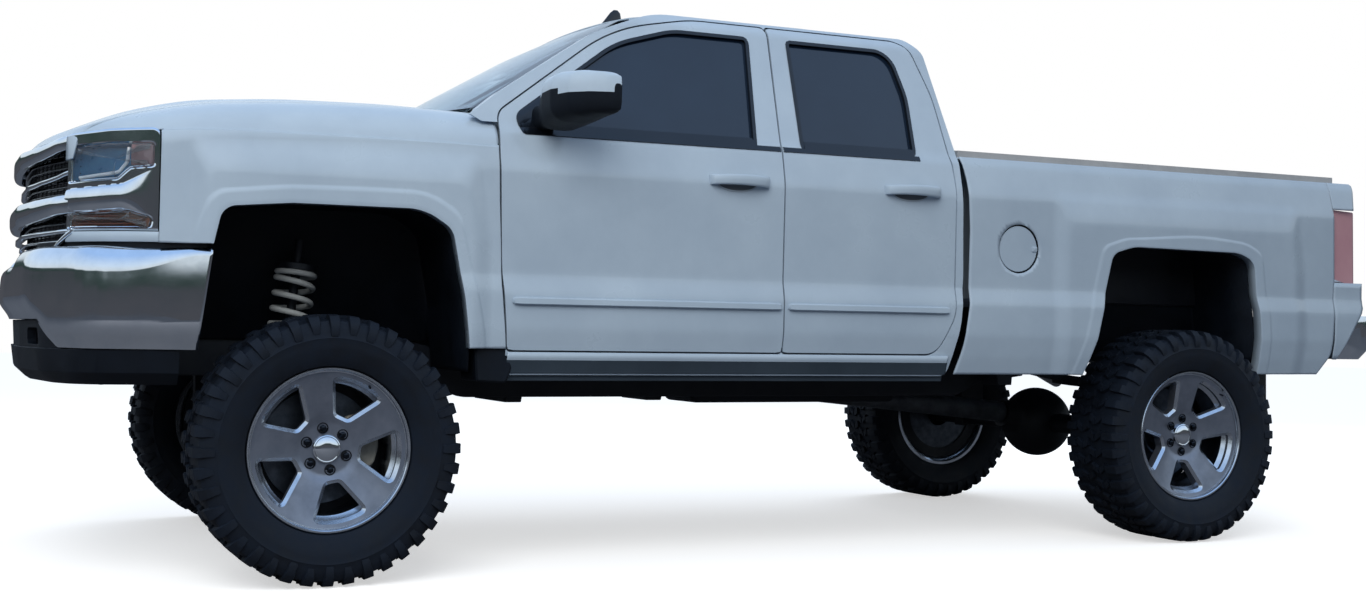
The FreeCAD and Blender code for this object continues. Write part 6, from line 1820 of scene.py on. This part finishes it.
@dataclass
class Wheel:
    """One road wheel: polished five-spoke rim with its nuts and cap, brake disc, and mud-terrain tyre."""

    end: str
    side: Side
    phase: float
    spokes: int = 5
    nut_circle: float = 0.0699
    pitches: int = 40

    # wheel's face: radii, then how far out it stands from the wheel's middle
    FACE_R = np.array([0.00, 0.050, 0.088, 0.112, 0.200, 0.243, 0.256])
    FACE_A = np.array([0.062, 0.062, 0.064, 0.072, 0.094, 0.104, 0.107])

    @property
    def body(self) -> str:
        """The wheel's body in the frame."""
        return f"wheel_{self.end}_{self.side.word}"

    def placed(self, local: Array) -> Array:
        """Carries points (x, outwards, z) about the wheel's middle to station axes."""
        out = np.array(local, dtype=float)
        out[..., 0] += 0.0 if self.end == "front" else WHEELBASE
        out[..., 1] = self.side.value * (local[..., 1] + HALF_TRACK)
        out[..., 2] += TYRE_RADIUS
        return out

    def build(self) -> None:
        """Builds the wheel's pieces."""
        self._rim()
        self._fittings()
        self._brake()
        self._tyre()

    def _window(self) -> Array:
        """Outline of one opening between spokes, about the upright, as (x, z)."""
        top = [on_circle(0.232, t) for t in np.radians(np.linspace(20.5, -20.5, 9))]
        corners = [
            (-0.022, 0.116, 0.012), (0.022, 0.116, 0.012), (*top[0], 0.016), *top[1:-1], (*top[-1], 0.016)
        ]
        return rounded(corners, step=0.006)

    def _height(self, points: Array) -> Array:
        """How far out the wheel's face stands at points (x, z)."""
        return np.interp(np.linalg.norm(points, axis=-1), self.FACE_R, self.FACE_A)

    def _rim(self) -> None:
        """Barrel and face; each fifth of the face is a grid from an opening's edge to its sector's outline."""
        rim = Piece(self.body + "_rim", self.body, ALLOY, (f"rim_{self.end}_{self.side.word}",), sharp=22.0)
        # barrel's section: distance along the axle, radius
        profile = [
            (-0.122, 0.271), (-0.113, 0.271), (-0.111, 0.256), (-0.092, 0.255), (-0.078, 0.230),
            (0.066, 0.230), (0.084, 0.255), (0.111, 0.256), (0.113, 0.271), (0.121, 0.271),
            (0.1235, 0.2685), (0.1235, 0.2635), (0.1205, 0.2605), (0.1100, 0.2580), (0.1070, 0.2560),
            (0.1050, 0.2500), (0.0850, 0.2400), (0.066, 0.219), (-0.072, 0.218), (-0.082, 0.226),
            (-0.100, 0.246), (-0.116, 0.250), (-0.122, 0.258),
        ]
        rim.grid(self.placed(revolved(np.array(profile), full_turn(120))), wrap_u=True, wrap_v=True)
        opening = self._window()
        half = math.pi / self.spokes
        reach, hub = 0.2565, 0.046
        sweep = np.linspace(half, -half, 15)
        outline = [on_circle(reach, t) for t in sweep] + [on_circle(hub, t) for t in sweep[::-1]]
        keys_in = ((-0.022, 0.116), (0.022, 0.116), (0.0812, 0.2173), (-0.0812, 0.2173))
        keys_out = [on_circle(r, t) for r, t in ((hub, -half), (hub, half), (reach, half), (reach, -half))]
        counts = (12, 26, 34, 26)
        loop = keyed_loop(opening, keys_in, counts)
        outer = keyed_loop(np.array(outline), keys_out, counts)
        wide = inset(loop, -0.0115)
        face = between(wide, outer, np.linspace(0, 1, 12))
        front = xyz(face[..., 0], self._height(face), face[..., 1])
        back = front[[0, -1]] - np.array([0.0, 0.050, 0.0])
        low = xyz(loop[:, 0], self._height(loop) - 0.0095, loop[:, 1])
        deep = xyz(inset(loop, -0.003)[:, 0], self._height(loop) - 0.050, inset(loop, -0.003)[:, 1])
        for k in range(self.spokes):
            angle = self.phase + 36.0 + 72.0 * k
            for sheet, finish in (
                (front, SPOKE_FACE), (np.stack([low, front[0]]), None), (np.stack([deep, low]), SPOKE_FACE),
                (back, SPOKE_FACE)
            ):
                rim.grid(self.placed(turned(sheet, angle)), wrap_v=True, finish=finish)
        rim.build()

    def _fittings(self) -> None:
        """Nuts in seats of gloss black, painted shade for their recesses, bare centre cap and valve."""
        nuts = Piece(self.body + "_nuts", self.body, GLOSS_BLACK, sharp=30.0)
        cap = Piece(self.body + "_cap", self.body, CHROME, sharp=30.0)
        # The dark seats round the nuts are painted shade: gloss black standing for the shade in the recesses of
        # the wheel's face
        seat = np.array([(0.0640, 0.0190), (0.0668, 0.0184), (0.0668, 0.0160), (0.0630, 0.0145), (0.0630, 0.0)])
        nut = np.array([(0.0600, 0.0110), (0.0715, 0.0106), (0.0745, 0.0085), (0.0755, 0.0050), (0.0758, 0.0)])
        spin = full_turn(24)
        for k in range(6):
            middle = math.radians(self.phase + 60 * k)
            for profile, facets, finish in ((seat, 0.0, None), (nut, 0.05, NUT_STEEL)):
                hexed = profile[:, 1:] * (1 - facets * np.cos(6 * spin))
                ring = xyz(
                    hexed * np.cos(spin) + self.nut_circle * math.sin(middle), profile[:, :1] + 0 * spin,
                    hexed * np.sin(spin) + self.nut_circle * math.cos(middle)
                )
                nuts.grid(self.placed(ring), wrap_v=True, finish=finish)
        dome = np.array(
            [
                (0.058, 0.0480), (0.0655, 0.0478), (0.0720, 0.0455), (0.0740, 0.0420), (0.0735, 0.0395),
                (0.0770, 0.0330), (0.0795, 0.0200), (0.0802, 0.0)
            ]
        )
        cap.grid(self.placed(revolved(dome, full_turn(48))), wrap_v=True)
        nuts.build()
        cap.build()
        valve = Piece(self.body + "_valve", self.body, BLACK_PLASTIC)
        path = turned(
            np.array([[0.03, 0.098, 0.244], [0.03, 0.110, 0.242], [0.03, 0.122, 0.238]]), self.phase + 36
        )
        valve.tube(self.placed(path), 0.004, 8)
        valve.build()

    def _brake(self) -> None:
        """Brake disc with its hat, and the dust shield behind it."""
        # Turned steel, its colour darkened as painted shade for the shade inside the wheel
        disc = Piece(self.body + "_disc", self.body, TURNED_STEEL_SHADED, sharp=30.0)
        spin = full_turn(72)
        profile = np.array(
            [
                (-0.090, 0.070), (-0.090, 0.192), (-0.082, 0.192), (-0.082, 0.178), (-0.072, 0.178),
                (-0.072, 0.192), (-0.064, 0.192), (-0.064, 0.092), (-0.060, 0.086), (0.030, 0.084),
                (0.042, 0.080), (0.042, 0.0)
            ]
        )
        disc.grid(self.placed(revolved(profile, spin)), wrap_v=True)
        disc.build()
        holder = f"steering_knuckle_{self.side.word}" if self.end == "front" else "chassis"
        shield = Piece(self.body + "_dust_shield", holder, CHASSIS_PAINT, sharp=30.0)
        profile = np.array([(-0.0985, 0.186), (-0.0985, 0.234), (-0.0970, 0.235), (-0.0970, 0.186)])
        shield.grid(self.placed(revolved(profile, spin)), wrap_u=True, wrap_v=True)
        shield.build()

    # tyre's section from bead to crown: distance along the axle, radius
    CARCASS = (
        (-0.108, 0.256), (-0.110, 0.271), (-0.126, 0.276), (-0.132, 0.284), (-0.140, 0.300),
        (-0.150, 0.325), (-0.1545, 0.345), (-0.1555, 0.362), (-0.1570, 0.366), (-0.1550, 0.370),
        (-0.1535, 0.385), (-0.1480, 0.405), (-0.1380, 0.421), (-0.1200, 0.4275), (-0.060, 0.4300),
        (0.0, 0.4305),
    )

    def _tyre(self) -> None:
        """Carcass with its sidewall rings, then the lugs."""
        tyre = Piece(
            self.body + "_tyre", self.body, TYRE_RUBBER, (f"tyre_{self.end}_{self.side.word}",), sharp=34.0
        )
        left = np.array(self.CARCASS)
        profile = np.concatenate([left, (left * [-1, 1])[-2::-1]])
        tyre.grid(self.placed(revolved(profile, full_turn(160))), wrap_u=True, wrap_v=True)
        for sign, shift in ((1, 0.0), (-1, 0.5)):
            self._shoulder(tyre, sign, shift)
            for row in ("near", "middle"):
                self._blocks(tyre, sign, shift, row)
        tyre.build()

    ACROSS = np.array([-1.0, -0.86, 0.86, 1.0])
    RISE = np.array([0.0, 1.0, 1.0, 0.0])

    def _strip(self, tyre: Piece, path: Array, spread: Array, lift: Array, sign: float, angles: Array) -> None:
        """Adds one lug at each angle: a strip carried along a section path, closed below and at its ends.

        Args:
            tyre: The tyre's piece.
            path: Foot points (n, 2) along the axle and radius.
            spread: Places along the tread of the strip's four edges at each path point.
            lift: Height of the top above the foot at each point, as (n, 2) steps along axle and radius.
            sign: Which half of the tread.
            angles: Where the lugs stand, in radians.
        """
        a = path[:, None, 0] + lift[:, None, 0] * self.RISE
        r = path[:, None, 1] + lift[:, None, 1] * self.RISE
        whole = (spread / r)[None] + angles[:, None, None]
        points = xyz(r * np.sin(whole), np.broadcast_to(sign * a, whole.shape), r * np.cos(whole))
        for lug in self.placed(points):
            tyre.grid(lug, wrap_v=True)
            tyre.faces(lug[0], np.array([[0, 1, 2, 3]]))
            tyre.faces(lug[-1], np.array([[0, 1, 2, 3]]))

    def _shoulder(self, tyre: Piece, sign: float, shift: float) -> None:
        """Shoulder lugs that run down the sidewall, long and short by turns."""
        path = np.array(
            [
                (0.078, 0.4290), (0.112, 0.4280), (0.130, 0.4240), (0.1435, 0.4120), (0.1505, 0.3960),
                (0.1535, 0.3800), (0.1550, 0.3720)
            ]
        )
        lift = np.array(
            [
                (0.0, 0.0152), (0.0, 0.0155), (0.0060, 0.0150), (0.0095, 0.0095), (0.0085, 0.0040),
                (0.0055, 0.0010), (0.0020, 0.0)
            ]
        )
        pitch = 2 * math.pi / self.pitches
        base = (np.arange(self.pitches // 2) * 2 + shift) * pitch
        long_width = np.array([0.0165, 0.0180, 0.0185, 0.0180, 0.0150, 0.0150, 0.0120])
        self._strip(tyre, path, long_width[:, None] * self.ACROSS, lift, sign, base)
        short_width = np.array([0.0150, 0.0200, 0.0205, 0.0190, 0.0140, 0.0110])
        short_lift = lift[:6] * np.array([[1], [1], [1], [1], [0.9], [0.3]])
        self._strip(tyre, path[:6], short_width[:, None] * self.ACROSS, short_lift, sign, base + pitch)

    def _blocks(self, tyre: Piece, sign: float, shift: float, row: str) -> None:
        """Blocks inside the shoulders: slanted bars next to them and hooked ones along the middle."""
        pitch = 2 * math.pi / self.pitches
        base = (np.arange(self.pitches) + shift) * pitch
        if row == "near":
            line, slant, half = np.linspace(0.040, 0.071, 4), 0.020, 0.0145
        else:
            line, slant, half = np.linspace(0.004, 0.032, 4), -0.016, 0.0160
        t = (line - line[0]) / (line[-1] - line[0])
        path = np.stack([line, np.full(4, 0.4290)], axis=-1)
        lift = np.tile([0.0, 0.0152], (4, 1))
        self._strip(tyre, path, half * self.ACROSS + slant * (t[:, None] - 0.5), lift, sign, base)


WHEELS = (
    Wheel("front", Side.LEFT, -11.0),
    Wheel("rear", Side.LEFT, 2.5),
    Wheel("front", Side.RIGHT, 14.0),
    Wheel("rear", Side.RIGHT, -22.0),
)


@dataclass
class Suspension:
    """Front coil-over struts with their helical springs, and the pale brake calipers."""

    foot: tuple[float, float, float] = (-0.118, 0.610, 0.342)
    head: tuple[float, float, float] = (-0.022, 0.560, 1.180)
    turns: float = 7.0
    dead_turns: float = 0.7
    dead_pitch: float = 0.15
    coil: float = 0.065
    wire: float = 0.0105
    seats: tuple[float, float] = (0.448, 0.825)
    # body, rod, lower and upper seat: lower and upper end as shares of the strut's length, then radius
    damper: tuple[tuple[float, float, float], ...] = (
        (0.0, 0.62, 0.028), (0.62, 0.97, 0.016), (0.415, 0.44, 0.074), (0.834, 0.862, 0.074)
    )

    def build(self) -> None:
        """Builds both sides."""
        for side in Side:
            self._strut(side)
            self._caliper(side)

    def _strut(self, side: Side) -> None:
        """Damper, seats and coil; the coil at turn t is at foot + axis s(t) + radius (u cos t + v sin t).

        The dead turns at both ends rise by a share of the pitch only, so that the coil lies on its seats.
        """
        foot, head = np.array(self.foot), np.array(self.head)
        axis = head - foot
        length = np.linalg.norm(axis)
        axis /= length
        u = np.cross(axis, [0.0, 1.0, 0.0])
        u /= np.linalg.norm(u)
        v = np.cross(axis, u)
        piece = Piece(
            f"coil_spring_{side.word}", "chassis", SPRING_COAT, ("struts",) if side is Side.RIGHT else (),
            weld=1e-6
        )
        t = np.linspace(0, 1, 420)
        dead, pitch = self.dead_turns / self.turns, self.dead_pitch
        share = np.where(t < dead, pitch * t, np.where(t > 1 - dead, 1 - pitch * (1 - t), 0))
        inside = (t >= dead) & (t <= 1 - dead)
        low, high = pitch * dead, 1 - pitch * dead
        share = np.where(inside, low + (high - low) * (t - dead) / (1 - 2 * dead), share)
        along_axis = length * (self.seats[0] + (self.seats[1] - self.seats[0]) * share)
        turn = 2 * math.pi * self.turns * t
        around = u * np.cos(turn)[:, None] + v * np.sin(turn)[:, None]
        path = foot + axis * along_axis[:, None] + self.coil * around
        piece.tube(mirror(path, side), self.wire, 10)
        piece.build()
        damper = Piece(f"damper_{side.word}", "chassis", CHASSIS_PAINT, weld=1e-6)
        for low, high, radius in self.damper:
            ends = np.stack([foot + axis * length * s for s in (low, (low + high) / 2, high)])
            damper.tube(mirror(ends, side), radius, 28)
        damper.build(bevel=0.002)

    def _caliper(self, side: Side) -> None:
        """Cast caliper over the disc's rear edge."""
        caliper = Piece(f"caliper_{side.word}", f"steering_knuckle_{side.word}", CALIPER_PAINT, sharp=30.0)
        edge = rounded(
            [
                (0.104, 0.382, 0.02), (0.182, 0.372, 0.03), (0.2050, 0.4645, 0.09), (0.158, 0.556, 0.03),
                (0.080, 0.545, 0.02)
            ],
            step=0.01
        )
        rows = slab(edge, ((0.005, 0.744), (0.0, 0.748), (0.0, 0.852), (0.005, 0.8565)))
        caliper.loft(mirror(rows, side))
        caliper.build()


@dataclass
class Plain:
    """CAD pieces that keep their own shape, with their finishes."""

    rows: tuple[tuple[str, str, Finish, float], ...] = (
        ("frame", "chassis", CHASSIS_PAINT, 0.004),
        ("crossmembers", "chassis", CHASSIS_PAINT, 0.004),
        ("hitch", "chassis", CHASSIS_PAINT, 0.002),
        ("wheel_housings", "chassis", CHASSIS_PAINT, 0.004),
        ("lift_crossmembers", "chassis", CHASSIS_PAINT, 0.004),
        ("control_arms", "chassis", CHASSIS_PAINT, 0.004),
        ("engine", "chassis", CAST_ALUMINIUM, 0.02),
        ("fuel_tank", "chassis", BLACK_PLASTIC, 0.0),
        ("driveline", "chassis", CAST_ALUMINIUM, 0.0),
        ("rear_axle", "chassis", CHASSIS_PAINT, 0.0),
        ("leaf_springs", "chassis", CHASSIS_PAINT, 0.002),
        ("exhaust", "chassis", EXHAUST_STEEL, 0.0),
        ("front_structure", "chassis", BLACK_PLASTIC, 0.003),
        ("front_valance", "chassis", BLACK_PLASTIC, 0.003),
        ("tie_rods", "steering_rods", CAST_IRON, 0.0),
        ("knuckle_left", "steering_knuckle_left", CAST_IRON, 0.003),
        ("knuckle_right", "steering_knuckle_right", CAST_IRON, 0.003),
    )

    def build(self) -> None:
        """Dresses each row's node."""
        for node, body, finish, bevel in self.rows:
            dressed_copy(node, body, finish, bevel=bevel)
        for side in Side:
            Mirror().build(side)


# ------------------------------------------------------------------ light and camera


class Studio:
    """Floor, soft light and the camera."""

    sky = 0.63
    floor_glow = 0.55
    eye = (-1.1018, -5.9447, 0.8444)

    def build(self) -> None:
        """Makes the stage."""
        self._world()
        self._floor()
        self._lamps()
        self._camera()

    def _world(self) -> None:
        """A pale sky for soft light, an open yard for reflections, plain white where it is seen directly."""
        world = bpy.data.worlds.new("pale_room")
        world.use_nodes = True
        tree = world.node_tree
        tree.nodes.clear()
        place = add_node(tree, "ShaderNodeTexCoord")
        split = add_node(tree, "ShaderNodeSeparateXYZ", links={"Vector": place.outputs["Generated"]})
        soft = self._ramp(tree, split.outputs["Z"], ((0.0, (0.20, 0.23, 0.28)), (0.55, (0.80, 0.89, 1.0))))
        rough = add_node(
            tree, "ShaderNodeTexNoise", {"Scale": 4.0, "Detail": 2.0}, {"Vector": place.outputs["Generated"]}
        )
        wave = add_node(tree, "ShaderNodeMath", {1: 0.05}, {0: rough.outputs["Fac"]})
        wave.operation = "MULTIPLY"
        level = add_node(tree, "ShaderNodeMath", {}, {0: split.outputs["Z"], 1: wave.outputs["Value"]})
        level.operation = "SUBTRACT"
        yard = self._ramp(
            tree,
            level.outputs["Value"],
            (
                (0.0, (0.062, 0.066, 0.078)), (0.07, (0.052, 0.058, 0.068)), (0.085, (0.028, 0.045, 0.042)),
                (0.115, (0.034, 0.055, 0.055)), (0.13, (0.66, 0.74, 0.80)), (0.30, (0.62, 0.76, 0.93)),
                (0.8, (0.36, 0.56, 0.92))
            ),
        )
        rays = add_node(tree, "ShaderNodeLightPath")
        room = add_node(tree, "ShaderNodeBackground", {"Strength": self.sky}, {"Color": soft})
        view = add_node(tree, "ShaderNodeBackground", {"Strength": 1.1}, {"Color": yard})
        seen = add_node(tree, "ShaderNodeBackground", {"Strength": 1.0, "Color": (1, 1, 1, 1)})
        inner = self._mix(tree, rays.outputs["Is Glossy Ray"], room, view)
        mix = self._mix(tree, rays.outputs["Is Camera Ray"], inner, seen)
        add_node(tree, "ShaderNodeOutputWorld", links={"Surface": mix.outputs["Shader"]})
        bpy.context.scene.world = world
        bpy.context.scene.view_settings.view_transform = "Standard"

    @staticmethod
    def _mix(
        tree: bpy.types.NodeTree, share: bpy.types.NodeSocket, first: bpy.types.Node, second: bpy.types.Node
    ) -> bpy.types.Node:
        """Mixes two shader nodes by a share."""
        links = {"Fac": share, 1: first.outputs[0], 2: second.outputs[0]}
        return add_node(tree, "ShaderNodeMixShader", {}, links)

    @staticmethod
    def _ramp(
        tree: bpy.types.NodeTree, source: bpy.types.NodeSocket, stops: Sequence[tuple[float, Sequence[float]]]
    ) -> bpy.types.NodeSocket:
        """A colour ramp over a value, from (place, linear colour) stops."""
        ramp = add_node(tree, "ShaderNodeValToRGB", links={"Fac": source})
        elements = ramp.color_ramp.elements
        while len(elements) < len(stops):
            elements.new(0.5)
        for element, (place, colour) in zip(elements, stops):
            element.position = place
            element.color = (*colour, 1.0)
        return ramp.outputs["Color"]

    def _floor(self) -> None:
        """A pale floor that keeps the object's shadow."""
        mesh = bpy.data.meshes.new("studio_floor")
        mesh.from_pydata([(-40, -40, 0), (40, -40, 0), (40, 40, 0), (-40, 40, 0)], [], [(0, 1, 2, 3)])
        floor = bpy.data.objects.new("studio_floor", mesh)
        bpy.context.scene.collection.objects.link(floor)
        mat = bpy.data.materials.new("pale_floor")
        mat.use_nodes = True
        tree = mat.node_tree
        tree.nodes.clear()
        matt = add_node(tree, "ShaderNodeBsdfDiffuse", {"Color": (0.86, 0.87, 0.88, 1)})
        dull = add_node(tree, "ShaderNodeBsdfDiffuse", {"Color": (0.15, 0.16, 0.185, 1)})
        glow = add_node(tree, "ShaderNodeEmission", {"Color": (1, 1, 1, 1), "Strength": self.floor_glow})
        rays = add_node(tree, "ShaderNodeLightPath")
        both = add_node(tree, "ShaderNodeAddShader", {}, {0: matt.outputs[0], 1: glow.outputs[0]})
        mix = self._mix(tree, rays.outputs["Is Camera Ray"], dull, both)
        add_node(tree, "ShaderNodeOutputMaterial", links={"Surface": mix.outputs["Shader"]})
        mesh.materials.append(mat)

    def _lamps(self) -> None:
        """Two large soft lamps: over the near side and behind."""
        for name, place, aim, size, power, colour in (
            ("near_soft_light", (-4.5, -7.0, 6.0), (0, 0, 1.0), 6.0, 480.0, (1.0, 0.98, 0.95)),
            ("far_soft_light", (5.0, 6.0, 5.5), (0, 0, 1.0), 6.0, 200.0, (0.92, 0.96, 1.0)),
        ):
            lamp = bpy.data.lights.new(name, "AREA")
            lamp.size = size
            lamp.energy = power
            lamp.color = colour
            thing = bpy.data.objects.new(name, lamp)
            thing.location = place
            thing.visible_glossy = False
            thing.rotation_euler = (Vector(aim) - Vector(place)).to_track_quat("-Z", "Y").to_euler()
            bpy.context.scene.collection.objects.link(thing)

    def _camera(self) -> None:
        """Camera low at the front left, level with the hood's side."""
        yaw, pitch, roll = 0.4037, 0.0423, 0.0150
        d = np.array([math.sin(yaw) * math.cos(pitch), math.cos(yaw) * math.cos(pitch), math.sin(pitch)])
        r = np.array([math.cos(yaw), -math.sin(yaw), 0.0])
        u = np.cross(r, d)
        right = math.cos(roll) * r + math.sin(roll) * u
        up = -math.sin(roll) * r + math.cos(roll) * u
        data = bpy.data.cameras.new("studio_camera")
        data.sensor_width = 36.0
        data.lens = 39.995
        data.shift_x, data.shift_y = 0.0486, -0.0230
        data.clip_end = 200.0
        camera = bpy.data.objects.new("studio_camera", data)
        turn = Matrix((right, up, -d)).transposed().to_4x4()
        camera.matrix_world = Matrix.Translation(to_frame(np.array(self.eye))) @ turn
        bpy.context.scene.collection.objects.link(camera)
        bpy.context.scene.camera = camera


def main() -> None:
    """Builds the vehicle and its stage."""
    for part in (FrontBody(), FrontEnd(), Cab(), Bed(), *WHEELS, Suspension(), Plain(), Studio()):
        part.build()
        log.info("built %s", type(part).__name__)


if __name__ == "__main__":
    main()
